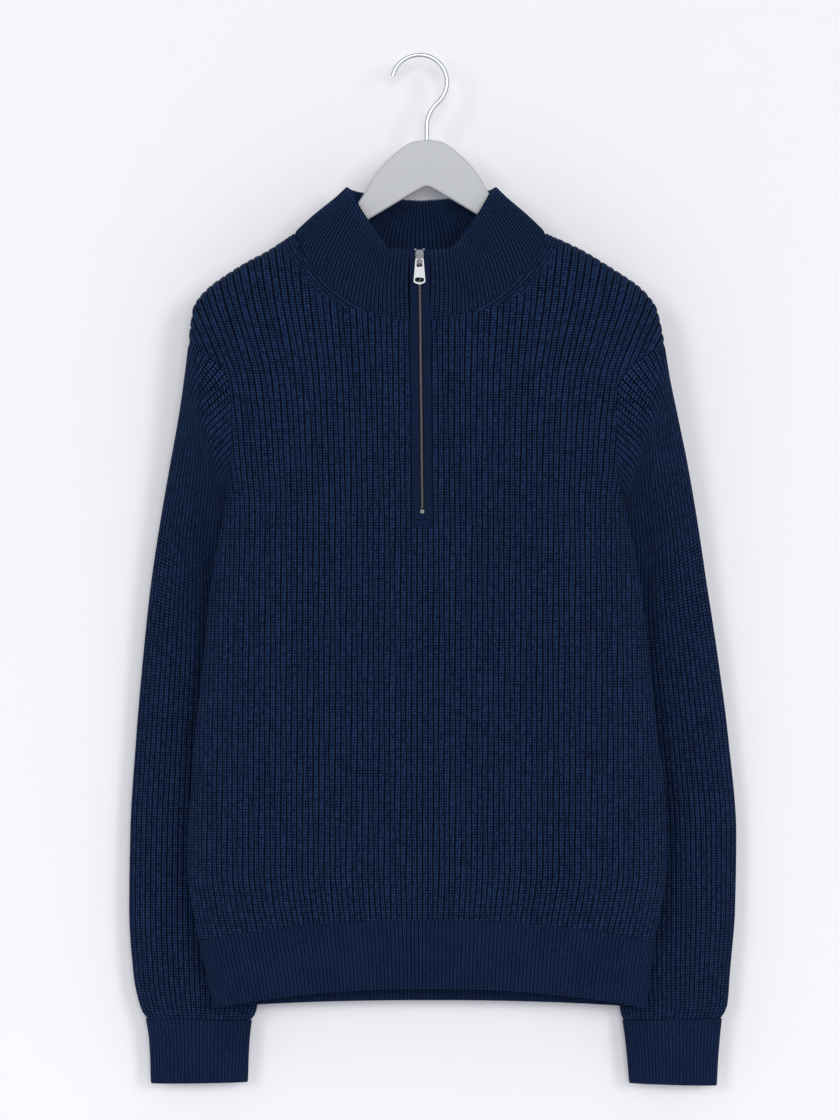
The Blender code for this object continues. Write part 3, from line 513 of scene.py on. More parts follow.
def cloth(name, node_names, outer, inner, finish, thickness=0.0):
    """One piece of cloth. outer and inner hold grids (points in mm, uv, second uv, facing).

    A second uv holds ribs that run another way and the points where they show.
    With no thickness the grids already close up into a wall.
    """
    points, uvs, cells, lining = [], [], [], []
    count = 0
    for grid, uv, second, facing in (*outer, *inner):
        rows, columns = grid.shape[:2]
        made = grid_cells(rows, columns, count)
        made = made if facing > 0 else made[:, ::-1]
        corner_uvs = uv.reshape(-1, 2)[made - count]
        if len(second):
            other, shows = (part.reshape(rows * columns, -1)[made - count] for part in second)
            corner_uvs = np.where(shows.mean(axis=1, keepdims=True) > 0.5, other, corner_uvs)
        cells.append(made)
        uvs.append(corner_uvs.reshape(-1, 2))
        lining += [int(len(points) >= len(outer))] * len(made)
        points.append(grid.reshape(-1, 3))
        count += rows * columns
    points, uvs, cells = np.vstack(points), np.vstack(uvs), np.vstack(cells)
    mesh = bpy.data.meshes.new(name)
    mesh.from_pydata((points * MM).tolist(), [], cells.tolist())
    mesh.polygons.foreach_set("material_index", lining)
    layer = mesh.uv_layers.new(name="knit")
    layer.data.foreach_set("uv", uvs.astype(np.float32).ravel())
    work = bmesh.new()
    work.from_mesh(mesh)
    bmesh.ops.remove_doubles(work, verts=work.verts[:], dist=0.00001)
    work.normal_update()
    if thickness:
        rim = [e for e in work.edges if len(e.link_faces) == 1 and not e.link_faces[0].material_index]
        made = bmesh.ops.extrude_edge_only(work, edges=rim)["geom"]
    else:
        bmesh.ops.recalc_face_normals(work, faces=work.faces[:])
        made = []
    turned = {v for v in made if isinstance(v, bmesh.types.BMVert)}
    for vert in turned:
        root = next(o for o in (e.other_vert(vert) for e in vert.link_edges) if o not in turned)
        vert.co -= root.normal * thickness * MM
    for face in work.faces:
        face.material_index = 0
    work.to_mesh(mesh)
    work.free()
    mesh.shade_smooth()
    mesh.set_sharp_from_angle(angle=radians(62))
    piece = bpy.data.objects.new(name, mesh)
    bpy.context.scene.collection.objects.link(piece)
    mesh.materials.append(finish)
    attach(piece, "garment")
    if node_names:
        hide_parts(*node_names)
    print(name, "triangles:", sum(len(p.vertices) - 2 for p in mesh.polygons))
    return piece


# %% [markdown]
# ## The panels' rows
# Below the underarms a row of points is a level section of the body. Above them it is one
# line of a patch stretched between four edges: the underarm line, both armholes, and the top
# edge, which runs up one shoulder, round the neckline and down the other shoulder.

# %% Rows of a panel
DENSE = 160
LIFT_POWER = 2.2  # how fast the hem's lift fades towards the side seams
UNDERARM_CROWDING, NECK_CROWDING = 0.7, 1.35  # how points bunch up at the ends of an edge
BOW_POWER = 1.2


def level_half(side, z, sign):
    """A dense line of points (x, y, z) from the body's middle out to its side seam."""
    across = np.sin(np.linspace(0, pi / 2, DENSE)) * sign
    left, right = body("left", z), body("right", z)
    middle, half = (left + right) / 2, (right - left) / 2
    start = zip_x(z)
    edge = middle + sign * half
    x = start + (edge - start) * np.abs(across)
    away = np.clip(np.abs((x - middle) / half), 0, 1)
    rise = from_table(ROW_LIFT, LIFT_COLUMNS, side, z) * (1 - away**LIFT_POWER)
    return np.stack([x, depth(side, x, np.full(DENSE, z)), z + rise], axis=1)


def armhole(sign, z):
    """X of the armhole seam at the heights z."""
    return from_table(ARMHOLE, ARMHOLE_COLUMNS, "left" if sign < 0 else "right", z)


def top_half(side, sign, t):
    """(x, z) along the top edge: t from 0 at the armhole, by the neck point, to 1 at the cut."""
    name = "left" if sign < 0 else "right"
    z = np.linspace(SHOULDER_TIP_Z, NECK_POINT_Z, 200)
    ridge = np.stack([body(name, z), z], axis=1)
    corner = ridge[-1, 0]
    x = np.linspace(corner, sign * ZIP_CUT, 300)
    neck = np.stack([x, neck_z(side, x)], axis=1)
    on_shoulder = resample(ridge, arc(ridge), np.clip(2 * t, 0, 1) * arc(ridge)[-1])
    share = np.clip(2 * t - 1, 0, 1) ** NECK_CROWDING
    on_neck = resample(neck, arc(neck), share * arc(neck)[-1])
    return np.where((t < 0.5)[:, None], on_shoulder, on_neck)


def patch_half(side, v, sign):
    """A dense line of points (x, y, z) from the body's middle out to its armhole."""
    t = np.linspace(0, 1, 2 * DENSE)
    bottom_share = t - UNDERARM_CROWDING * np.sin(pi * t) / pi
    cut = zip_x(UNDERARM_Z) + sign * ZIP_CUT
    edge = armhole(sign, UNDERARM_Z)
    bottom = np.stack([edge + (cut - edge) * bottom_share, 0 * t + UNDERARM_Z], axis=1)
    top = top_half(side, sign, t)
    z = UNDERARM_Z + v * (SHOULDER_TIP_Z - UNDERARM_Z)
    bow = np.array([armhole(sign, z), z]) - (1 - v) * bottom[0] - v * top[0]
    near = np.clip(1 - bottom_share, 0, 1)[:, None] ** BOW_POWER
    flat = (1 - v) * bottom + v * top + near * bow
    to_middle = np.linspace(flat[-1, 0], zip_x(flat[-1, 1]), 12)[1:]
    flat = np.vstack([flat, np.stack([to_middle, 0 * to_middle + flat[-1, 1]], axis=1)])
    y = depth(side, flat[:, 0], flat[:, 1])
    return np.stack([flat[:, 0], y, flat[:, 1]], axis=1)[::-1]


def form_normals(side, points, sign):
    """Outward unit normals of the body's form. At its very edge they lie in the seam's plane."""
    x, z = points[..., 0], points[..., 2]
    name = "left" if sign < 0 else "right"
    by_x = depth(side, x + 0.5, z) - depth(side, x - 0.5, z)
    by_z = depth(side, x, z + 0.5) - depth(side, x, z - 0.5)
    facing = -1 if side == "front" else 1
    out = facing * np.stack([-by_x, np.ones_like(x), -by_z], axis=-1)
    lean = body(name, z + 0.5) - body(name, z - 0.5)
    ridge = sign * np.stack([np.ones_like(x), 0 * x, -lean], axis=-1)
    at_edge = 1 - smooth(0.4, 2.0, np.abs(points[..., 1]))
    out = out / np.linalg.norm(out, axis=-1, keepdims=True)
    ridge = ridge / np.linalg.norm(ridge, axis=-1, keepdims=True)
    out = out * (1 - at_edge[..., None]) + ridge * at_edge[..., None]
    return out / np.linalg.norm(out, axis=-1, keepdims=True)


print("points in a dense half row:", DENSE)

# %% [markdown]
# ## Placing a row's columns on the ribs
# Each dense row knows at which rib every one of its points lies. Reading it the other way
# round gives the point where each rib column crosses the row.

# %% Columns on ribs
WIDEST_Z = -737.0
STRAIGHT_Z = -340.0  # from here up the ribs are counted straight across
LOWER_Z = np.linspace(HEM_Z, UNDERARM_Z, 62)[:-1]
CLOSE_V = 0.93  # from this share of the patch up its rows lie closer, for the seams' sake
UPPER_V = np.linspace(0, CLOSE_V, 44)
UPPER_V = UPPER_V - 0.11 * np.sin(pi * UPPER_V / CLOSE_V)
UPPER_V = np.concatenate([UPPER_V, np.linspace(CLOSE_V, 1, 27)[1:]])


def reach_of(line, z):
    """Distance from the middle along a row: round the form low down, straight across high up."""
    across = np.abs(line[:, 0] - zip_x(z))
    round_form = across[0] + arc(line[:, :2])
    share = smooth(UNDERARM_Z, STRAIGHT_Z, z)
    return round_form * (1 - share) + across * share


def cut_rib(line, ribs):
    """The rib number at the edge of the cut for the zip."""
    across = np.abs(line[:, 0] - zip_x(line[:, 2]))
    return np.interp(ZIP_CUT, across, ribs)


def rib_numbers(side, line, z_row, sign, pitch):
    """The rib number at each point of a dense half row, from the middle out."""
    reach = reach_of(line, z_row if z_row is not None else line[:, 2])
    if z_row is not None and z_row < WIDEST_Z:
        widest = level_half(side, WIDEST_Z, sign)
        reach = reach * reach_of(widest, WIDEST_Z)[-1] / reach[-1]
    low = fanned_back(reach, line[:, 2])
    return np.maximum.accumulate(low / pitch)


def half_panel(side, sign, columns_per_rib, lower, upper, pitch, cut):
    """Points, rib numbers and edge fades of one half of a panel, row by row."""
    halves = []
    for z in lower:
        line = level_half(side, z, sign)
        halves.append((line, rib_numbers(side, line, z, sign, pitch)))
    for v in upper:
        line = patch_half(side, v, sign)
        halves.append((line, rib_numbers(side, line, None, sign, pitch)))
    most = max(ribs[-1] for _, ribs in halves)
    columns = np.arange(0, int(np.ceil(most * columns_per_rib)) + 1) / columns_per_rib
    points, numbers, fades = [], [], []
    for line, ribs in halves:
        first = cut_rib(line, ribs) if cut else 0.0
        wanted = columns + waver(columns * sign, line[0, 2]) * smooth(0, 3, columns)
        wanted = np.clip(wanted, first, ribs[-1])
        points.append(resample(line, ribs, wanted))
        here = np.clip(columns, first, ribs[-1])
        numbers.append(here * sign)
        fades.append(smooth(0, 0.5, ribs[-1] - here) * (smooth(0, 0.5, here - first) if cut else 1))
    return np.array(points), np.array(numbers), np.array(fades)


print("rows in a panel:", len(LOWER_Z) + len(UPPER_V))

# %% [markdown]
# ## The front and back panels
# Both come from the same functions, because a sweater's front and back are knitted alike. The
# front is left open from the neck down to the zip's end. Beside each side of the neckline a
# band of four narrow ribs runs along the seam: there the knitter narrowed the piece to shape
# the neck, and the body's upright ribs end against that band.

# %% Front and back panels
STITCH = 2.5  # height of one stitch
NECK_RIB_PITCH = 3.7
NECK_RIB_REACH = 4 * NECK_RIB_PITCH  # the width of the band of ribs beside the neckline
NECK_RIB_END = {"front": (0.34, 0.78), "back": (0.15, 0.5)}  # where it narrows and ends


def stitch_rows(points):
    """How many stitches up each point lies: by height low down, along its column higher up."""
    steps = np.linalg.norm(np.diff(points, axis=0), axis=2)
    low = points[:-1, :, 2] < UNDERARM_Z - 1
    steps = np.where(low, np.diff(points[..., 2], axis=0), steps)
    start = points[0, :, 2] / STITCH
    return np.vstack([start, start + np.cumsum(steps, axis=0) / STITCH])


def neck_path(side, sign):
    """The neckline in the XZ plane from the neck point to the middle, and shares along it."""
    x = np.linspace(NECK_X[sign > 0], sign * ZIP_CUT, 260)
    path = np.stack([x, neck_z(side, x)], axis=1)
    return path, arc(path) / arc(path)[-1]


def neck_ribs(side, points, sign):
    """Ribs that run beside the neckline: how much they show at each point, and their uv."""
    path, shares = neck_path(side, sign)
    flat = points[..., [0, 2]]
    shows = np.zeros(flat.shape[:-1])
    uv = np.zeros(flat.shape)
    near = flat[..., 1] > NECK_LOW_Z["front"] - NECK_RIB_REACH
    for row in np.nonzero(near.any(axis=1))[0]:
        gaps = np.linalg.norm(flat[row][:, None] - path[None], axis=2)
        gap, share = gaps.min(axis=1), shares[gaps.argmin(axis=1)]
        reach = NECK_RIB_REACH * (1 - smooth(*NECK_RIB_END[side], share))
        shows[row] = (gap < reach) & (share < NECK_RIB_END[side][1])
        uv[row] = np.stack([gap / NECK_RIB_PITCH, share * arc(path)[-1] / STITCH], axis=1)
    return shows, uv


def panel_grids(side, columns_per_rib, lower, upper, pitch, relief, inset=0.0, table=(), cut=False):
    """Both halves of a panel as grids for cloth()."""
    grids = []
    for sign in (-1, 1):
        points, numbers, fades = half_panel(side, sign, columns_per_rib, lower, upper, pitch, cut)
        out = form_normals(side, points, sign)
        stitches = stitch_rows(points)
        profile = rib_profile(numbers) * fades
        shows, neck_uv = neck_ribs(side, points, sign)
        if not inset:
            profile = np.where(shows > 0.5, 0.85 * rib_profile(neck_uv[..., 0]), profile)
        rise = relief * (profile - 0.7) - inset
        swell = creases(table, points[..., 0], points[..., 2])
        rise = rise + swell * smooth(2, 14, np.abs(points[..., 1]))
        grid = points + rise[..., None] * out
        # Each grid's cells face -Y when its columns run towards +X and its rows run up.
        facing = 1 if (sign > 0) == (side == "front") else -1
        uv = np.stack([numbers, stitches], axis=-1)
        second = () if inset else (neck_uv, shows)
        grids.append((grid, uv, second, facing if inset == 0 else -facing))
    return grids


def panel_layers(side, table):
    """A front or back panel's outer grids, with ribs, and its plainer inner grids."""
    layers = []
    for sharp in (True, False):
        lower = LOWER_Z if sharp else LOWER_Z[::3]
        upper = UPPER_V if sharp else UPPER_V[np.unique(np.r_[0:69:4, 69])]
        if side == "front":
            low = np.append(lower[lower < ZIP_END_Z - 0.5], ZIP_END_Z)
            high = np.insert(lower[lower > ZIP_END_Z + 0.5], 0, ZIP_END_Z)
            blocks = ((low, (), False), (high, upper, True))
        else:
            blocks = ((lower, upper, False),)
        made = []
        for levels, curves, cut in blocks:
            made += panel_grids(
                side,
                RIB_COLUMNS if sharp else 1,
                levels,
                curves,
                RIB_PITCH,
                RIB_RELIEF if sharp else 0.0,
                0.0 if sharp else WALL,
                table,
                cut,
            )
        layers.append(made)
    return layers


front_layers = panel_layers("front", FRONT_CREASES)
front = cloth("front", ["front_panel"], *front_layers, chunky_rib, WALL - 0.7 * RIB_RELIEF)
back_layers = panel_layers("back", BACK_CREASES)
back = cloth("back", ["back_panel"], *back_layers, chunky_rib, WALL - 0.7 * RIB_RELIEF)
print("stitch height:", STITCH, "mm")

# %% [markdown]
# ## Hems
# The bottom band is knitted double on finer needles, so its ribs are narrower, 3.5 mm apart,
# and shallower. It draws the body in a little. Front and back bands are separate lengths of
# the same tube, joined at the side seams.

# %% Hems
HEM_ROWS = np.linspace(HEM_BOTTOM_Z, HEM_Z - GAP, 14)
HEM_DROP = {0: 0.8, 1: 0.15, -1: 0.5}  # a row's number, and how far its surface is drawn in
FINE_RELIEF = 0.75
SEAM_LAP = 1.5  # how far each half reaches past the side seam, so that no light comes through


def hem_grids(side, levels):
    """A hem band's closed wall. Its ribs keep their number from top to bottom."""
    layers = {"outer": [], "inner": [], "uv": []}
    for sign in (-1, 1):
        lines = [level_half(side, z, sign) for z in levels]
        ribs = int(round(arc(lines[len(lines) // 2][:, :2])[-1] / FINE_PITCH))
        columns = np.arange(0, ribs * RIB_COLUMNS + 1) / RIB_COLUMNS
        shares = [arc(line[:, :2]) / arc(line[:, :2])[-1] for line in lines]
        points = np.array([resample(*pair, columns / ribs) for pair in zip(lines, shares)])
        points[:, -1, 1] += SEAM_LAP if side == "front" else -SEAM_LAP
        numbers = np.broadcast_to(columns * sign, points.shape[:2])
        fades = smooth(0, 0.5, ribs - columns)
        out = form_normals(side, points, sign)
        rise = FINE_RELIEF * (rib_profile(numbers) * fades - 0.7)
        # The bottom edge is round, and the top is drawn in by its seam.
        for row, drop in HEM_DROP.items():
            rise[row] -= drop
        order = slice(None, None, -1) if sign < 0 else slice(1, None)
        layers["outer"].append((points + rise[..., None] * out)[:, order])
        layers["inner"].append((points - WALL * out)[:, order])
        layers["uv"].append(np.stack([numbers, points[..., 2] / STITCH], axis=-1)[:, order])
    outer, inner, uv = (np.concatenate(layers[k], axis=1) for k in ("outer", "inner", "uv"))
    return shell(outer, inner, uv, uv, capped=True), flat_size(inner)


hems, hem_flats = [], []
for side in ("front", "back"):
    wall, flat = hem_grids(side, np.insert(HEM_ROWS, 1, HEM_ROWS[0] + 1.0))
    hems.append(cloth(f"{side}_hem", [f"hem_{side}"], wall, [], fine_rib))
    hem_flats.append(flat)

# %% [markdown]
# ## Sleeves and cuffs
# A sleeve hangs as a flattened tube behind the body. It is a loft: a row of a table gives one
# flattened ring, and a smooth curve through the rings, starting at the armhole's own edge,
# gives all the rings between them. Ribs run the whole length, so their number stays the same
# and they draw closer where the sleeve narrows to its cuff.

# %% Sleeve tables
SLEEVE_COLUMNS = ("outer_x", "outer_z", "inner_x", "inner_z", "depth", "half", "lean")
RIGHT_SLEEVE = (
    (-212, -288, -172, -410, 4, 25, 1),
    (-217, -322, -167, -423, 13, 23, 5),
    (-225, -366, -165, -443, 22, 22, 8),
    (-234, -417, -163, -470, 28, 20, 9),
    (-243, -476, -153, -503, 32, 19, 9),
    (-250, -540, -146, -552, 34, 19, 8),
    (-257, -620, -144, -624, 36, 18, 7),
    (-262, -700, -143, -700, 36, 18, 6),
    (-263, -770, -143, -772, 35, 18, 5),
    (-259, -830, -145, -834, 33, 18, 4),
    (-253, -858, -148, -862, 32, 17, 3),
    (-248, -869, -152, -871, 31, 16, 3),
)
LEFT_SLEEVE = (
    (226, -290, 182, -410, 4, 25, 1),
    (233, -323, 177, -423, 13, 23, 5),
    (242, -366, 175, -443, 22, 22, 8),
    (251, -417, 174, -470, 28, 20, 9),
    (260, -476, 167, -503, 32, 19, 9),
    (270, -541, 165, -552, 34, 19, 8),
    (280, -618, 169, -624, 36, 18, 7),
    (287, -702, 173, -700, 36, 18, 6),
    (286, -768, 176, -772, 35, 18, 5),
    (281, -830, 180, -834, 33, 18, 4),
    (279, -856, 182, -860, 32, 17, 3),
    (274, -869, 184, -871, 31, 16, 3),
)
RIGHT_CUFF = (
    (-248, -869.3, -152, -871.3, 31, 16, 3),
    (-245, -889, -154, -889, 30, 15.5, 2),
    (-244, -908, -155, -909, 30, 15, 2),
    (-243.5, -928, -155.5, -927, 30, 15, 2),
)
LEFT_CUFF = (
    (274, -869.3, 184, -871.3, 31, 16, 3),
    (272, -889, 186.5, -889, 30, 15.5, 2),
    (270.5, -908, 188.5, -909, 30, 15, 2),
    (269.5, -930, 190, -928, 30, 15, 2),
)
SLEEVE_POWER = 2.1
SLEEVE_RIBS = 54
CUFF_RIBS = 60
CUFF_RELIEF = 0.45
LEFT_CREASES_RAISED = 25  # so that the two sleeves don't match
SLEEVE_CREASES = (  # share round the ring, z, its reach round and along, and its height
    (0.20, -520, 0.05, 90, -1.8),
    (0.28, -455, 0.05, 60, -4.0),
    (0.29, -575, 0.06, 110, -6.5),
    (0.28, -735, 0.055, 95, -5.0),
    (0.42, -640, 0.07, 120, -2.6),
    (0.12, -640, 0.05, 110, 1.3),
    (0.30, -700, 0.06, 90, -1.5),
    (0.40, -600, 0.05, 80, -1.4),
    (0.22, -800, 0.07, 60, 1.4),
    (0.36, -845, 0.08, 22, 1.5),
    (0.15, -850, 0.07, 18, 1.2),
    (0.70, -560, 0.08, 100, 1.5),
    (0.80, -760, 0.08, 90, -1.4),
)
print("sleeve ribs:", SLEEVE_RIBS, "cuff ribs:", CUFF_RIBS)

# %% [markdown]
# ## Rings
# Every ring starts at its outer end and runs round the front first, so the same share of the
# way round always lies on the same rib.

# %% Ring functions


def flat_ring(row, shares):
    """A flattened tube's ring for one row of a sleeve table, at these shares of its length."""
    value = dict(zip(SLEEVE_COLUMNS, row))
    outer = np.array([value["outer_x"], value["depth"] - value["lean"], value["outer_z"]])
    inner = np.array([value["inner_x"], value["depth"] + value["lean"], value["inner_z"]])
    turn = np.linspace(0, 2 * pi, 721)
    power = 2 / SLEEVE_POWER
    across = np.sign(np.cos(turn)) * np.abs(np.cos(turn)) ** power
    bulge = -np.sign(np.sin(turn)) * np.abs(np.sin(turn)) ** power
    curve = (outer + inner) / 2 + across[:, None] * (outer - inner) / 2
    curve[:, 1] += bulge * value["half"]
    return resample(curve, arc(curve) / arc(curve)[-1], shares)


def armhole_ring(sign, shares):
    """The armhole's edge: down the front from the shoulder, then up the back."""
    z = np.linspace(SHOULDER_TIP_Z, UNDERARM_Z, 300)
    x = armhole(sign, z)
    halves = []
    for side in ("front", "back"):
        half = np.stack([x, depth(side, x, z), z], axis=1)
        half = half if side == "front" else half[::-1]
        halves.append((half, arc(half) / arc(half)[-1]))
    first = resample(*halves[0], np.clip(2 * shares, 0, 1))
    second = resample(*halves[1], np.clip(2 * shares - 1, 0, 1))
    return np.where((shares < 0.5)[:, None], first, second)


def ring_normals(rings):
    """Outward unit normals of a closed stack of rings, whose last column repeats the first."""
    down = np.gradient(rings, axis=0)
    open_rings = rings[:, :-1]
    across = (np.roll(open_rings, -1, axis=1) - np.roll(open_rings, 1, axis=1)) / 2
    across = np.concatenate([across, across[:, :1]], axis=1)
    out = np.cross(across, down)
    out /= np.maximum(np.linalg.norm(out, axis=-1, keepdims=True), 1e-9)
    middle = rings[len(rings) // 2].mean(axis=0)
    start = rings[len(rings) // 2, 0]
    return out if (out[len(rings) // 2, 0] * (start - middle)).sum() > 0 else -out


def tube(table, sign, ribs, steps, relief, from_armhole, swells=()):
    """A sleeve's or cuff's closed wall: ribs outside, plain inside."""
    shares = np.arange(0, ribs * RIB_COLUMNS + 1) / (ribs * RIB_COLUMNS)
    rings = [flat_ring(row, shares) for row in table]
    if from_armhole:
        rings.insert(0, armhole_ring(sign, shares))
    rings = np.array(rings)
    at = arc(rings.mean(axis=1))
    where = np.linspace(0, at[-1], steps)
    stack = through(at, rings, where)
    out = ring_normals(stack)
    numbers = np.broadcast_to(shares * ribs, stack.shape[:2])
    first = smooth(0, 5, where) if from_armhole else 1
    ends = (first * smooth(0, 3, at[-1] - where))[:, None]
    swell = 0.0 * numbers
    for share, z, wide, long, height in swells:
        away = (np.mod(shares - share + 0.5, 1) - 0.5)[None, :] / wide
        swell = swell + height * np.exp(-(away**2) - ((stack[..., 2] - z) / long) ** 2)
    outer = stack + (relief * (rib_profile(numbers) * ends - 0.7) + swell)[..., None] * out
    inner = stack + (swell - WALL)[..., None] * out
    stitches = -arc(stack.mean(axis=1))[:, None] / STITCH * np.ones(stack.shape[:2])
    uv = np.stack([numbers * sign, stitches], axis=-1)
    kept = np.unique(np.r_[np.arange(0, steps, 4), steps - 1])
    return shell(outer, inner[kept], uv, uv[kept]), flat_size(stack)


sleeves, cuffs, tube_flats = [], [], {}
for name, sign, sleeve, cuff in (
    ("right", -1, RIGHT_SLEEVE, RIGHT_CUFF),
    ("left", 1, LEFT_SLEEVE, LEFT_CUFF),
):
    raised = LEFT_CREASES_RAISED * (sign > 0)
    swells = [(share, z + raised, *sizes) for share, z, *sizes in SLEEVE_CREASES]
    wall, tube_flats["sleeve", name] = tube(sleeve, sign, SLEEVE_RIBS, 110, RIB_RELIEF, True, swells)
    sleeves.append(cloth(f"{name}_sleeve", [f"sleeve_{name}"], wall, [], chunky_rib))
    wall, tube_flats["cuff", name] = tube(cuff, sign, CUFF_RIBS, 24, CUFF_RELIEF, False)
    cuffs.append(cloth(f"{name}_cuff", [f"cuff_{name}"], wall, [], fine_rib))

# %% [markdown]
# ## The collar
# The stand collar is one band knitted double and folded over at its top edge, so it is
# thicker than the body and its top is round. It is a loft from the neckline up to a table of
# points along that fold, then over the fold and down again inside. Its ribs stand square on
# the neck seam.

# %% Collar
COLLAR_COLUMNS = ("share", "x", "y", "z")
COLLAR_TOP = (
    (0.00, 9, -38, -175),
    (0.08, 27, -37, -173.5),
    (0.16, 38, -31, -160),
    (0.27, 51, -22, -141),
    (0.37, 61.5, -10, -122.5),
    (0.44, 65.5, 2, -117),
    (0.52, 61.5, 12, -119),
    (0.68, 44, 20, -123),
    (0.84, 22, 23.5, -127),
    (1.00, 0, 24.5, -128.5),
)
COLLAR_LEFT_REACH, COLLAR_BULGE, COLLAR_WALL = 1.05, 2.5, 3.8
COLLAR_RIBS = (36, 30)  # from the zip to the neck point, and from there to the back's middle
COLLAR_RELIEF = 1.45


def neck_half(sign, shares):
    """Neckline points from the zip to the neck point (shares to 0.5), then to the back's middle."""
    corner = NECK_X[sign > 0]
    lines = []
    for side, start, end in (("front", sign * ZIP_CUT, corner), ("back", corner, 0.0)):
        x = start + (end - start) * (1 - np.cos(np.linspace(0, pi, 240))) / 2
        z = neck_z(side, x)
        line = np.stack([x, depth(side, x, z), z], axis=1)
        lines.append((line, arc(line) / arc(line)[-1]))
    first = resample(*lines[0], np.clip(2 * shares, 0, 1))
    second = resample(*lines[1], np.clip(2 * shares - 1, 0, 1))
    return np.where((shares < 0.5)[:, None], first, second)


def collar_top(sign, shares):
    """Points along the collar's folded top edge."""
    x, y, z = (from_table(COLLAR_TOP, COLLAR_COLUMNS, k, shares, by="share") for k in "xyz")
    return np.stack([x * (COLLAR_LEFT_REACH if sign > 0 else -1.0), y, z], axis=1)


def collar_lines():
    """Base and top line of the whole collar, from the cut's -X edge round the back."""
    ahead, behind = (count * RIB_COLUMNS for count in COLLAR_RIBS)
    shares = np.concatenate([np.linspace(0, 0.5, ahead + 1), np.linspace(0.5, 1, behind + 1)[1:]])
    base = np.vstack([neck_half(-1, shares), neck_half(1, shares)[-2::-1]])
    top = np.vstack([collar_top(-1, shares), collar_top(1, shares)[-2::-1]])
    return base, top


def collar_surface(base, top, heights):
    """Rows of the collar's outer form at these heights, 0 at the neck seam and 1 at the fold."""
    away = (base - base.mean(axis=0)) * np.array([1, 1, 0])
    away /= np.linalg.norm(away, axis=1, keepdims=True)
    rows = [base + h * (top - base) + COLLAR_BULGE * sin(pi * h) * away for h in heights]
    return np.array(rows)


def collar_grids(heights, fold_steps):
    """The collar's closed wall: up outside, over the fold, and down inside."""
    base, top = collar_lines()
    rows = collar_surface(base, top, heights)
    out = np.cross(np.gradient(rows, axis=1), np.gradient(rows, axis=0))
    middle = rows.reshape(-1, 3).mean(axis=0)
    if (out[len(rows) // 2, 8] * (rows[len(rows) // 2, 8] - middle)).sum() < 0:
        out = -out
    out[:, [0, -1], 0] = 0
    out /= np.maximum(np.linalg.norm(out, axis=-1, keepdims=True), 1e-9)
    up = rows[-1] - rows[-2]
    up /= np.linalg.norm(up, axis=-1, keepdims=True)
    half = (WALL + (COLLAR_WALL - WALL) * smooth(0, 0.35, heights)[:, None, None]) / 2
    number = np.arange(base.shape[0]) / RIB_COLUMNS
    edge = smooth(0, 0.6, np.minimum(number, number[-1] - number))
    foot = smooth(0, 0.06, heights)[:, None]
    ridge = (COLLAR_RELIEF * (rib_profile(number) * edge * foot - 0.7))[..., None]
    radius = COLLAR_WALL / 2
    spine = rows - half * out - up * radius * smooth(0.8, 1.0, heights)[:, None, None]
    outer = spine + out * (half + ridge)
    turns = np.linspace(0, pi, fold_steps + 2)[1:-1]
    fold = [spine[-1] + (out[-1] * cos(a) + up * sin(a)) * (radius + ridge[-1]) for a in turns]
    inner = spine - out * (half + ridge)
    outer = np.concatenate([outer, fold])
    stitches = arc(outer[:, len(base) // 4]) / STITCH
    uv = np.stack(np.broadcast_arrays(number[None, :], stitches[:, None]), axis=-1)
    wall = shell(outer, inner, uv, uv[: len(inner)])
    for end in (0, -1):
        ends = np.stack([outer[: len(inner), end], inner[:, end]], axis=1)
        wall.append((ends, uv[: len(inner), :2], (), 1))
    return wall, flat_size(rows)


COLLAR_HEIGHTS = np.linspace(0, 1, 22)
collar_wall, collar_flat = collar_grids(COLLAR_HEIGHTS, 5)
collar = cloth("collar_band", ["collar"], collar_wall, [], collar_rib)
print("collar ribs:", 2 * sum(COLLAR_RIBS), "stitches to the fold:", collar_wall[0][1][21, 0, 1])

# %% [markdown]
# ## Zip bands, end box and tapes
# Beside the zip the cloth is turned under as a narrow band of plain knit, with no ribs. Each
# band is a strip with soft edges that follows the front, up the body and then the collar. A
# small box of the same knit closes the cut below the zip. The zip's own tapes lie behind the
# bands, in a woven navy herringbone twill.

# %% Plain strips
ZIP_STRIP_STEP = 2.0
PLAIN_STITCH = 1.5  # width of one stitch of plain knit
END_SHRINK, END_PLACE = (1.0, 0.45, 0.12), (0, 0.12, 0.5, 1)  # how a strip's end rounds off
collar_rows = collar_surface(*collar_lines(), COLLAR_HEIGHTS)
COLLAR_EDGE = (collar_rows[:, 0] + collar_rows[:, -1]) / 2


def front_line(z):
    """Y of the front's outer surface at the zip, up the body and the collar."""
    z = np.asarray(z, float)
    on_collar = np.interp(z, COLLAR_EDGE[:, 2], COLLAR_EDGE[:, 1])
    return np.where(z > COLLAR_EDGE[0, 2], on_collar, -body("front", z))


def soft_section(x_range, y_range, edge, steps=4):
    """A rectangle with round corners, as points (x, y) in order."""
    (x0, x1), (y0, y1) = sorted(x_range), y_range
    low_x, high_x, low_y, high_y = x0 + edge, x1 - edge, y0 + edge, y1 - edge
    corners = ((high_x, high_y), (low_x, high_y), (low_x, low_y), (high_x, low_y))
    points = []
    for quarter, (x, y) in enumerate(corners):
        for turn in np.linspace(0, pi / 2, steps) + quarter * pi / 2:
            points.append((x + edge * cos(turn), y + edge * sin(turn)))
    return np.array(points)


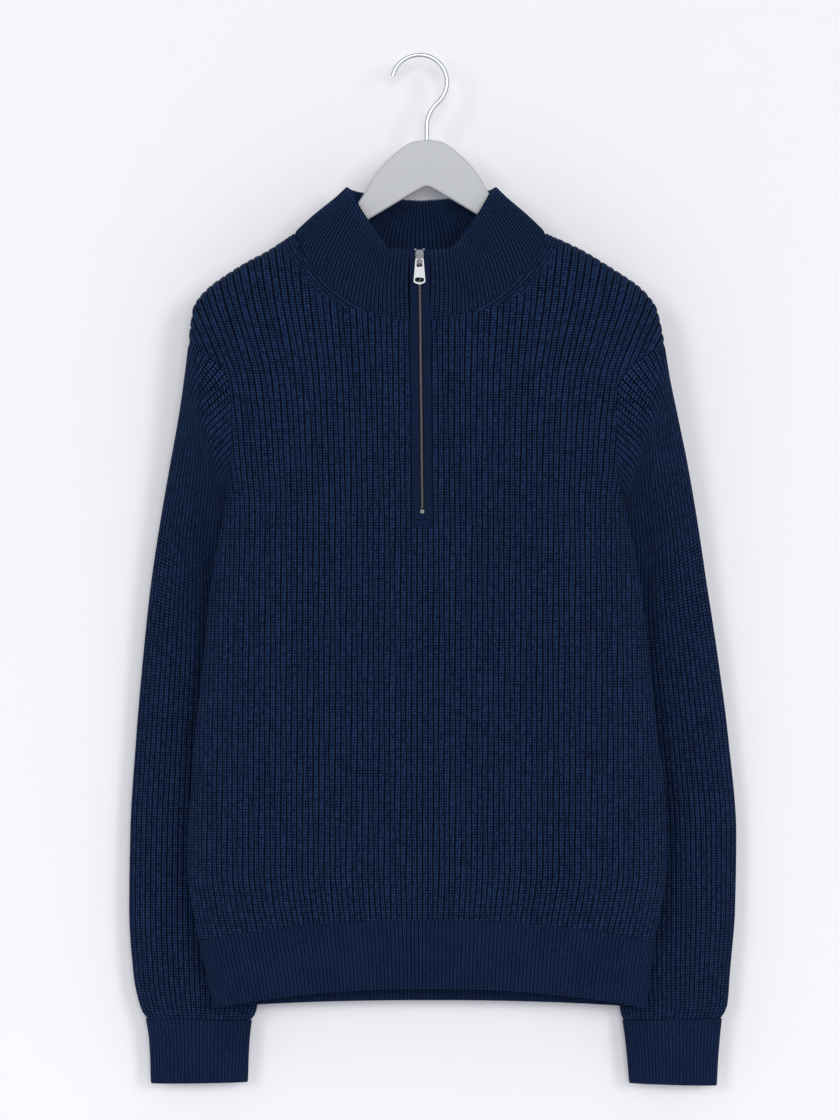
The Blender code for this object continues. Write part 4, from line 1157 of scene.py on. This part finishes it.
def strip(name, section, z_range, finish, end_edge=0.8):
    """A strip of plain knit along the zip, rounded at both ends, as one closed piece."""
    top, low = z_range
    z = np.linspace(top, low, int((top - low) / ZIP_STRIP_STEP) + 2)
    shrink = np.array([*END_SHRINK, *([0.0] * len(z)), *END_SHRINK[::-1]])
    ends = end_edge * np.array(END_PLACE)
    z = np.concatenate([top - ends, z[1:-1], low + ends[::-1]])
    middle = section.mean(axis=0)
    rows = []
    for height, part in zip(z, shrink):
        ring = middle + (section - middle) * (1 - part * end_edge / np.ptp(section, axis=0) * 2)
        ring = np.vstack([ring, ring[:1]])
        rows.append([(x + zip_x(height), y + front_line(height), height) for x, y in ring])
    rows = np.array(rows)
    tips = [np.broadcast_to(row.mean(axis=0), (1, *row.shape)) for row in (rows[0], rows[-1])]
    rows = np.concatenate([tips[0], rows, tips[1]])
    around = arc(np.vstack([section, section[:1]]))
    uv = np.stack(np.broadcast_arrays(around[None] / PLAIN_STITCH, rows[..., 2] / STITCH), axis=-1)
    nodes = [name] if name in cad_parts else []
    return cloth(name, nodes, [(rows, uv, (), 1)], [], finish)


BAND_TOP_Z, BAND_END_Z = -175.0, -417.7
BAND_X, BAND_Y, BAND_EDGE = (2.3, 9.0), (0.0, 2.5), 0.6
BOX_Z = (-418.0, -423.7)
TONGUE_Z = (-412.4, -417.9)  # the bands meet here, just under the last tooth
bands = []
for name, sign in (("right", -1), ("left", 1)):
    section = soft_section([sign * x for x in BAND_X], BAND_Y, BAND_EDGE)
    bands.append(strip(f"zip_band_{name}", section, (BAND_TOP_Z, BAND_END_Z), flat_knit))
box_section = soft_section((-BAND_X[1], BAND_X[1]), BAND_Y, BAND_EDGE)
end_box = strip("zip_end_box", box_section, BOX_Z, flat_knit, 0.7)
tongue_section = soft_section((-BAND_X[0], BAND_X[0]), BAND_Y, BAND_EDGE)
tongue = strip("zip_end_tongue", tongue_section, TONGUE_Z, flat_knit, 0.5)

# %% [markdown]
# ## Twill tape
# The tapes are kept as the CAD made them, because they are thin flat strips already. Their
# material weaves a herringbone: two bands of fine slanting threads that meet in a V.

# %% Tape material
HERRINGBONE_BAND, TWILL_THREAD = 0.003, 0.0004


def twill(name, dark, light):
    """Woven herringbone: its threads slant one way in one band and back in the next."""
    material, tree, shader = new_material(name, Roughness=0.8, IOR=1.5)
    shader.inputs["Sheen Weight"].default_value = 0.15
    place = add(tree, "ShaderNodeTexCoord").outputs["Object"]
    split = add(tree, "ShaderNodeSeparateXYZ", {0: place})

    def math(operation, first, second):
        """A sum on two sockets or numbers."""
        return add(tree, "ShaderNodeMath", {0: first, 1: second}, operation=operation).outputs[0]

    folded = math("PINGPONG", split.outputs[0], HERRINGBONE_BAND)
    slant = math("ADD", folded, split.outputs[2])
    rise = math("MULTIPLY", math("PINGPONG", slant, TWILL_THREAD), 1 / TWILL_THREAD)
    ramp = add(tree, "ShaderNodeValToRGB", {0: rise})
    ramp.color_ramp.elements[0].color = linear(dark)
    ramp.color_ramp.elements[1].color = linear(light)
    inputs = {"Strength": 0.7, "Distance": TWILL_THREAD / 2, "Height": rise}
    bump = add(tree, "ShaderNodeBump", inputs)
    tree.links.new(ramp.outputs[0], shader.inputs["Base Color"])
    tree.links.new(bump.outputs[0], shader.inputs["Normal"])
    return material


def dress(node_name, finish, bevel=0.0):
    """A CAD solid that is right as it is: it gets a finish and, if asked, soft edges."""
    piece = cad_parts[node_name]
    piece.data.materials.clear()
    piece.data.materials.append(finish)
    if bevel:
        edges = piece.modifiers.new("soft edges", "BEVEL")
        edges.width, edges.segments, edges.limit_method = bevel * MM, 2, "ANGLE"
    return piece


navy_twill = twill("polyester_twill_tape", "#070D1D", "#131F3B")
tapes = [dress(f"zip_tape_{name}", navy_twill) for name in ("right", "left")]
print("tapes:", [tape.name for tape in tapes])

# %% [markdown]
# ## Metal, plastic and wire
# The zip is nickel-plated brass: a metal, so metallic is 1 and its colour tints what it
# reflects. Satin plating spreads the reflection, which a roughness between 0.45 and 0.6 gives.
# The teeth are darker than the pull tab, and the slider and the stops darker still: painted
# shade, for a slider that sits in the shadow of its pull tab. The hanger is moulded
# polypropylene with a fine matt texture, and the hook is zinc-plated steel wire, a little
# glossier than the pull tab.

# %% Hard materials


def grained(name, light, dark, grain_mm, depth_mm, **shader_values):
    """A hard surface with a faint grain in its colour, roughness and relief."""
    material, tree, shader = new_material(name, **shader_values)
    place = add(tree, "ShaderNodeTexCoord").outputs["Object"]
    inputs = {"Vector": place, "Scale": 1 / (grain_mm * MM), "Detail": 4.0}
    grain = add(tree, "ShaderNodeTexNoise", inputs).outputs[0]
    ramp = add(tree, "ShaderNodeValToRGB", {0: grain})
    ramp.color_ramp.elements[0].position, ramp.color_ramp.elements[1].position = 0.3, 0.7
    ramp.color_ramp.elements[0].color = linear(dark)
    ramp.color_ramp.elements[1].color = linear(light)
    inputs = {"Strength": 0.5, "Distance": depth_mm * MM, "Height": grain}
    bump = add(tree, "ShaderNodeBump", inputs)
    tree.links.new(ramp.outputs[0], shader.inputs["Base Color"])
    tree.links.new(bump.outputs[0], shader.inputs["Normal"])
    return material


satin_nickel = grained(
    "satin_nickel_plate", "#BDBEC1", "#A6A7AB", 0.6, 0.01, Metallic=1.0, Roughness=0.58
)
# painted shade: a darker copy of the nickel, for the slider in the shadow of its pull tab, and for the
# stops
cast_nickel = grained(
    "painted_shade_nickel_casting", "#68696D", "#4C4D51", 0.5, 0.02, Metallic=1.0, Roughness=0.46
)
tooth_nickel = grained(
    "nickel_plated_brass_teeth", "#909195", "#66676B", 0.4, 0.01, Metallic=1.0, Roughness=0.52
)
zinc_wire = grained(
    "zinc_plated_wire", "#D6DADF", "#C8CCD2", 1.5, 0.02, Metallic=1.0, Roughness=0.42
)
grey_plastic = grained(
    "grey_polypropylene", "#B2B4B8", "#ACAEB2", 0.9, 0.03, Roughness=0.5, IOR=1.49
)
print("hard materials:", satin_nickel.name, zinc_wire.name, grey_plastic.name)

# %% [markdown]
# ## Plates
# Flat castings and mouldings are an outline with holes, given a thickness. `plate` fills the
# outline round its holes, joins front to back, and leaves the edges to a bevel. `solid` makes
# the mesh, for this and for the other hard pieces.

# %% Plate builder
from mathutils.geometry import tessellate_polygon


def solid(name, points, faces, finish, sharp_angle=40, flatten=False):
    """A closed mesh of points in mm, smooth but for edges sharper than this many degrees.

    flatten joins the triangles of each flat side into one face.
    """
    mesh = bpy.data.meshes.new(name)
    mesh.from_pydata([[c * MM for c in p] for p in points], [], faces)
    work = bmesh.new()
    work.from_mesh(mesh)
    bmesh.ops.recalc_face_normals(work, faces=work.faces[:])
    if flatten:
        flat_edges = {"verts": work.verts[:], "edges": work.edges[:]}
        bmesh.ops.dissolve_limit(work, angle_limit=radians(0.5), **flat_edges)
    work.to_mesh(mesh)
    work.free()
    mesh.shade_smooth()
    mesh.set_sharp_from_angle(angle=radians(sharp_angle))
    made = bpy.data.objects.new(name, mesh)
    bpy.context.scene.collection.objects.link(made)
    mesh.materials.append(finish)
    return made


def plate(name, outline, y_range, finish, holes=(), panel=(), panel_depth=0.2):
    """An outline of (x, z) points given a thickness, with holes and one sunk panel in front."""
    loops = [list(outline), *[list(hole) for hole in holes]]
    points = [(x, y, z) for y in y_range for loop in loops for x, z in loop]
    total = sum(len(loop) for loop in loops)
    sunk = [(x, y_range[0] + deep, z) for deep in (0.0, panel_depth) for x, z in panel]
    points += sunk
    flat = [[(x, z, 0) for x, z in loop] for loop in loops]
    back = [tuple(i + total for i in tri) for tri in tessellate_polygon(flat)]
    if panel:
        flat.append([(x, z, 0) for x, z in panel])
    numbers = list(range(total)) + list(range(2 * total, 2 * total + len(panel)))
    front = [tuple(numbers[i] for i in tri) for tri in tessellate_polygon(flat)]
    sides, start = [], 0
    for loop in loops:
        for i in range(len(loop)):
            j = (i + 1) % len(loop)
            sides.append((start + i, start + j, total + start + j, total + start + i))
        start += len(loop)
    for i in range(len(panel)):
        j = (i + 1) % len(panel)
        low = 2 * total
        sides.append((low + i, low + j, low + len(panel) + j, low + len(panel) + i))
    floor = [tuple(range(2 * total + len(panel), 2 * total + 2 * len(panel)))] if panel else []
    return solid(name, points, front + back + sides + floor, finish, flatten=not holes)


def soften(piece, width, segments=2, angle=40):
    """A bevel on a piece's edges. Real castings and mouldings have no perfectly sharp edge."""
    edges = piece.modifiers.new("soft edges", "BEVEL")
    edges.width, edges.segments = width * MM, segments
    edges.limit_method, edges.angle_limit = "ANGLE", radians(angle)
    edges.harden_normals = False
    return piece


print("plate builder ready")

# %% [markdown]
# ## Teeth and stops
# Each tooth is a small pressed block that grips its tape and reaches just past the middle to
# hook its neighbours. The two sides alternate, 2.4 mm apart on each, which makes the zip's
# zigzag line.

# %% Teeth
TOOTH_PITCH = 2.4
# A tooth's outline from the tape inwards: x, and half the tooth's height there.
TOOTH = ((1.2, 0.26), (0.75, 0.3), (0.35, 0.38), (0.05, 0.36), (-0.15, 0.2))
TOOTH_Y = (0.35, 2.35)
FIRST_TOOTH = 0.6  # its middle, below the chain's top
CHAIN_TOP_Z, CHAIN_END_Z = -178.7, -408.5


def teeth(name, sign):
    """One side's whole row of teeth."""
    first = CHAIN_TOP_Z - (FIRST_TOOTH if sign < 0 else FIRST_TOOTH + TOOTH_PITCH / 2)
    heights = np.arange(first, CHAIN_END_Z + 0.5, -TOOTH_PITCH)
    outline = [(sign * x, half) for x, half in TOOTH] + [(sign * x, -half) for x, half in TOOTH[::-1]]
    count = len(outline)
    points, faces = [], []
    for z in heights:
        start, line = len(points), float(front_line(z))
        for y in TOOTH_Y:
            points += [(zip_x(z) + x, line + y, z + dz) for x, dz in outline]
        faces.append(tuple(range(start, start + count)))
        faces.append(tuple(range(start + count, start + 2 * count)))
        for i in range(count):
            j = (i + 1) % count
            faces.append((start + i, start + j, start + count + j, start + count + i))
    made = solid(name, points, faces, tooth_nickel)
    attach(made, "garment")
    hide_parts(name.replace("teeth", "zip_chain"))
    print(name, "teeth:", len(heights))
    return soften(made, 0.1, 1)


chains = [teeth("teeth_right", -1), teeth("teeth_left", 1)]
stops = [dress(f"zip_stop_{name}", cast_nickel, 0.18) for name in ("right", "left", "bottom")]

# %% [markdown]
# ## Slider and pull tab
# The slider is a small casting with the right shape already, so it is kept, with its edges
# softened. The pull tab is cast with a square hole at the top, through which it hangs on the
# slider's bridge, a sunk plain panel, and a six-sided slot low down. It swings with its own
# body.

# %% Slider and pull
PULL_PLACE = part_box("zip_pull")
PULL_TOP_HALF, PULL_LOW_HALF, PULL_SIDE_END, PULL_POINT = 3.6, 5.4, -20.9, -23.0
PULL_HOLE_HALF, PULL_HOLE_Z = 2.6, (-7.0, -0.75)
PULL_SLOT = ((3.5, -16.7), (4.25, -18.4), (3.7, -20.1), (0.0, -21.0))
PULL_PANEL = ((3.0, -8.2), (3.75, -15.6))
PULL_AXIS_Z = -184.0


def round_corners(outline, radius, steps=4):
    """An outline with its corners rounded by short curves of about this reach."""
    outline = np.array(outline, float)
    made = []
    for before, corner, after in zip(np.roll(outline, 1, axis=0), outline, np.roll(outline, -1, axis=0)):
        ends = []
        for other in (before, after):
            reach = min(radius, np.linalg.norm(other - corner) * 0.45)
            ends.append(corner + (other - corner) / np.linalg.norm(other - corner) * reach)
        for s in np.linspace(0, 1, steps):
            made.append((1 - s) ** 2 * ends[0] + 2 * s * (1 - s) * corner + s * s * ends[1])
    return [tuple(float(c) for c in point) for point in made]


def mirrored(right):
    """A whole outline from its right half, listed from top to bottom."""
    return list(right) + [(-x, z) for x, z in reversed(right) if x > 1e-6]


slider = dress("zip_slider", cast_nickel, 0.22)
right_side = ((PULL_TOP_HALF, 0.75), (PULL_LOW_HALF, PULL_SIDE_END), (0.0, PULL_POINT))
hole = mirrored([(PULL_HOLE_HALF, PULL_HOLE_Z[1]), (PULL_HOLE_HALF, PULL_HOLE_Z[0])])
pull = plate(
    "pull_tab",
    round_corners(mirrored(right_side), 1.1),
    (-0.75, 0.75),
    satin_nickel,
    holes=(round_corners(hole, 0.7), round_corners(mirrored(PULL_SLOT), 0.5)),
    panel=round_corners(mirrored(PULL_PANEL), 0.5),
)
soften(pull, 0.18, 2, 50)
middle_y = (PULL_PLACE[0][1] + PULL_PLACE[1][1]) / 2
pull.location = (0, middle_y, PULL_AXIS_Z * MM)
bpy.context.view_layer.update()
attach(pull, "pull_tab")
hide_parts("zip_pull")
print("pull tab at", [round(c, 4) for c in pull.location])

# %% [markdown]
# ## The hanger and its hook
# The hanger is a flat moulding, 10 mm thick with rounded edges, whose arms slope down inside
# the shoulders. The hook is one length of wire: round the rail, back round a second bend onto
# the hanger's centre line, then straight down into its socket. Its tip is cut and rounded.

# %% Hanger and hook
HANGER_COLUMNS = ("reach", "z")
HANGER_TOP = (
    (0, -74.5),
    (13, -76.5),
    (20, -80.2),
    (27, -85.6),
    (36.5, -94.3),
    (46, -105.7),
    (54.5, -120.3),
    (63, -132.8),
    (73.5, -144.8),
    (83.5, -153.2),
    (93.5, -160.2),
    (118, -175.3),
    (160, -199),
    (186, -214),
    (191, -218),
    (193.5, -224),
)
HANGER_REACH, HANGER_END_RISE = HANGER_TOP[-1][0], 4
UNDER_REACHES = (HANGER_REACH, 191, 150, 90, 60, 40, 25, 16, 11, 8, 5.5, 3.5, 2, 1, 0)
HANGER_X, HANGER_HALF, HANGER_EDGE = 6.5, 5.0, 1.8
HANGER_UNDER_Z, HANGER_SLOPE, HANGER_ROUND = -117.0, 0.6, 3.0
HOOK_WIRE, HOOK_RADIUS, HOOK_BEND = 4.2, 24.75, 30.0
HOOK_TIP_ANGLE, HOOK_SOCKET_Z = 167.0, -90.0


def hanger_outline():
    """The moulding's whole outline, its upper edge as a smooth curve."""
    reach = np.concatenate([np.linspace(0, 180, 70), np.linspace(182, HANGER_REACH, 12)])
    top = [(r, float(from_table(HANGER_TOP, HANGER_COLUMNS, "z", r, by="reach"))) for r in reach]
    under = []
    for r in UNDER_REACHES:
        drop = HANGER_SLOPE * (sqrt(r * r + HANGER_ROUND**2) - HANGER_ROUND)
        under.append((r, HANGER_UNDER_Z - drop + HANGER_END_RISE * (r == HANGER_REACH)))
    right = top + under
    return [(HANGER_X + x, z) for x, z in right] + [(HANGER_X - x, z) for x, z in right[-2:0:-1]]


def hook_route():
    """The wire's centre line, from its tip to its foot."""
    first = np.array([0.0, HOOK_WIRE / 2 - HOOK_RADIUS])
    across = HANGER_X + HOOK_BEND
    second = np.array([across, first[1] - sqrt((HOOK_RADIUS + HOOK_BEND) ** 2 - across**2)])
    meet = atan2(second[1] - first[1], second[0] - first[0])
    points = []
    for a in np.linspace(radians(HOOK_TIP_ANGLE), meet, 90):
        points.append(first + HOOK_RADIUS * np.array([cos(a), sin(a)]))
    for a in np.linspace(meet + pi, pi, 30)[1:]:
        points.append(second + HOOK_BEND * np.array([cos(a), sin(a)]))
    points.append(np.array([HANGER_X, HOOK_SOCKET_Z + 0.4]))
    return np.array(points)


hanger = plate("hanger_moulding", hanger_outline(), (-HANGER_HALF, HANGER_HALF), grey_plastic)
soften(hanger, HANGER_EDGE, 4, 60)
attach(hanger, "garment")
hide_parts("hanger")


def wire(name, route, radius, finish, sides=24):
    """A round wire along a route in the XZ plane, with a rounded tip at its start."""
    along = np.gradient(route, axis=0)
    along /= np.linalg.norm(along, axis=1, keepdims=True)
    centres, radii, ways = [], [], []
    for turn in np.linspace(0, pi / 2, 7)[:-1]:
        centres.append(route[0] + along[0] * radius * 0.6 * (1 - sin(turn)))
        radii.append(max(radius * sin(turn), 1e-3))
        ways.append(along[0])
    for point, way in zip(route[1:], along[1:]):
        if np.dot(point - route[0], along[0]) > radius * 0.6 or len(centres) > 6:
            centres.append(point)
            radii.append(radius)
            ways.append(way)
    rows = []
    for centre, size, way in zip(centres, radii, ways):
        across = np.array([-way[1], way[0]])
        ring = []
        for turn in np.linspace(0, 2 * pi, sides, endpoint=False):
            x, z = centre + across * size * cos(turn)
            ring.append((x, size * sin(turn), z))
        rows.append(ring)
    points = [p for row in rows for p in row]
    faces = []
    for i in range(len(rows) - 1):
        for j in range(sides):
            k = (j + 1) % sides
            faces.append((i * sides + j, i * sides + k, (i + 1) * sides + k, (i + 1) * sides + j))
    faces.append(tuple(range(sides)))
    faces.append(tuple(range(len(points) - sides, len(points))))
    return solid(name, points, faces, finish, sharp_angle=60)


hook = wire("hook_wire", hook_route(), HOOK_WIRE / 2, zinc_wire)
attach(hook, "garment")
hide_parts("hanger_hook")
print("hanger", 2 * HANGER_REACH, "mm wide, hook wire", HOOK_WIRE, "mm")

# %% [markdown]
# ## What each cloth piece measures
# Every piece of cloth also says how big it was when it lay flat, before it was hung: its
# width, its length and, as these aren't rectangles, its area. They are measured on the plain
# form under the ribs. A sleeve or cuff is measured all the way round.

# %% Flat sizes
MEASURED_X = -110.0  # a line up the panel close to the neck point


def panel_flat(side, grids):
    """A panel's widest row, its length from hem seam to neck point, and its area."""
    width = sum(arc(level_half(side, WIDEST_Z, sign)[:, :2])[-1] for sign in (-1, 1))
    z = np.linspace(HEM_Z, NECK_POINT_Z, 300)
    x = np.full(300, MEASURED_X)
    length = arc(np.stack([x, depth(side, x, z), z], axis=1))[-1]
    area = sum(flat_size(grid)[2] for grid, *_ in grids)
    return width * MM, length * MM, area


zip_cloth = [*bands, end_box, tongue, *tapes]
SHEETS = (
    (front, panel_flat("front", front_layers[1]), zip_cloth),
    (back, panel_flat("back", back_layers[1]), []),
    (hems[0], hem_flats[0], []),
    (hems[1], hem_flats[1], []),
    (sleeves[0], tube_flats["sleeve", "right"], []),
    (sleeves[1], tube_flats["sleeve", "left"], []),
    (cuffs[0], tube_flats["cuff", "right"], []),
    (cuffs[1], tube_flats["cuff", "left"], []),
    (collar, collar_flat, []),
)
for piece, (width, length, area), others in SHEETS:
    flat = (round(width, 3), round(length, 3))
    area = round(min(area, flat[0] * flat[1]), 5)
    print(piece.name, "flat:", flat, "m, area", area, "m2")

# %% [markdown]
# ## A plain wall and floor
# The sweater hangs close to a pale matt wall, which catches its soft shadow. The wall and the
# floor have one side each: seen from behind they are clear, so that the back and the underside
# can be looked at. Paint is never perfectly even, so a very weak mottle tints it.

# %% Wall and floor
scene = bpy.context.scene
WALL_Y, WALL_TOP_Z, FLOOR_Z, ROOM = 0.058, 2.5, -1.6, 4.0
ROOM_CORNERS = ((-ROOM, -ROOM), (ROOM, -ROOM), (ROOM, ROOM), (-ROOM, ROOM))


def matt_paint(name, dark, light):
    """Matt emulsion, very weakly mottled, and clear when seen from behind."""
    material, tree, shader = new_material(name, Roughness=0.9)
    place = add(tree, "ShaderNodeTexCoord").outputs["Object"]
    inputs = {"Vector": place, "Scale": 1.2, "Detail": 1.0}
    mottle = add(tree, "ShaderNodeTexNoise", inputs).outputs[0]
    ramp = add(tree, "ShaderNodeValToRGB", {0: mottle})
    ramp.color_ramp.elements[0].color = linear(dark)
    ramp.color_ramp.elements[1].color = linear(light)
    tree.links.new(ramp.outputs[0], shader.inputs["Base Color"])
    behind = add(tree, "ShaderNodeNewGeometry").outputs["Backfacing"]
    clear = add(tree, "ShaderNodeBsdfTransparent").outputs[0]
    seen = add(tree, "ShaderNodeMixShader", {0: behind, 1: shader.outputs[0], 2: clear})
    tree.links.new(seen.outputs[0], tree.nodes["Material Output"].inputs[0])
    return material


def slab(name, corners, finish):
    """One flat face for the stage."""
    mesh = bpy.data.meshes.new(name)
    mesh.from_pydata(corners, [], [(0, 1, 2, 3)])
    made = bpy.data.objects.new(name, mesh)
    scene.collection.objects.link(made)
    mesh.materials.append(finish)
    made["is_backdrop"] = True
    return made


wall_corners = [(x, WALL_Y, FLOOR_Z if z < 0 else WALL_TOP_Z) for x, z in ROOM_CORNERS]
floor_corners = [(x, y, FLOOR_Z) for x, y in ROOM_CORNERS]
wall = slab("wall", wall_corners, matt_paint("matt_wall_paint", "#E5E5EA", "#E9E8ED"))
wall.visible_shadow = False  # so that a light behind it reaches the sweater's back
slab("floor", floor_corners, matt_paint("pale_floor_paint", "#CFCFD3", "#D6D6DA"))
print("wall at y =", WALL_Y)

# %% [markdown]
# ## Light and camera
# Even light from all round fills the grooves. Three soft lights stand in front, a little
# above the camera's height: one nearly straight ahead and a weaker one to each side. They give
# the ribs their shape and the wall its narrow shadow. A fourth stands behind the wall, which
# casts no shadow, and lights the sweater's back. The camera is level with the middle of the
# sweater and far off, so that its lines stay upright.

# %% Light and camera
SUN_COLUMNS = ("energy", "high", "turned", "soft")  # the last three in degrees
SUNS = {
    "front_softbox": (1.0, 5, 3, 14),
    "right_softbox": (0.7, 9, 24, 16),
    "left_softbox": (0.6, 9, -22, 16),
    "back_softbox": (2.0, 32, 190, 24),
}
CAMERA_X, CAMERA_DISTANCE, CAMERA_Z = 0.00045, 7.0, -0.454
VIEW_Y, HALF_HEIGHT = -0.02, 0.504  # metres in view above the camera's height, at this y

world = bpy.data.worlds.new("studio")
scene.world = world
world.use_nodes = True
background = world.node_tree.nodes["Background"]
background.inputs["Color"].default_value = (0.97, 0.98, 1.0, 1.0)
background.inputs["Strength"].default_value = 0.4
for name, row in SUNS.items():
    value = dict(zip(SUN_COLUMNS, row))
    sun = bpy.data.objects.new(name, bpy.data.lights.new(name, "SUN"))
    sun.data.energy = value["energy"]
    sun.data.angle = radians(value["soft"])
    sun.rotation_euler = (radians(90 - value["high"]), 0, radians(value["turned"]))
    scene.collection.objects.link(sun)

camera = bpy.data.objects.new("camera", bpy.data.cameras.new("camera"))
scene.collection.objects.link(camera)
camera.location = (CAMERA_X, -CAMERA_DISTANCE, CAMERA_Z)
camera.rotation_euler = (pi / 2, 0, 0)
camera.data.sensor_fit = "VERTICAL"
camera.data.sensor_height = 36
camera.data.lens = camera.data.sensor_height / 2 * (CAMERA_DISTANCE + VIEW_Y) / HALF_HEIGHT
scene.camera = camera
scene.view_settings.view_transform = "Standard"
print("lens:", round(camera.data.lens), "mm")

# %% [markdown]
# ## Print the sizes and finish
# The dressed model should fill the same box as the CAD model, within a few millimetres.

# %% Finish
low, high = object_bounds()
for axis, a, b, c, d in zip("xyz", cad_low, cad_high, low, high):
    print(axis, "CAD", round(a, 4), round(b, 4), "dressed", round(c, 4), round(d, 4))
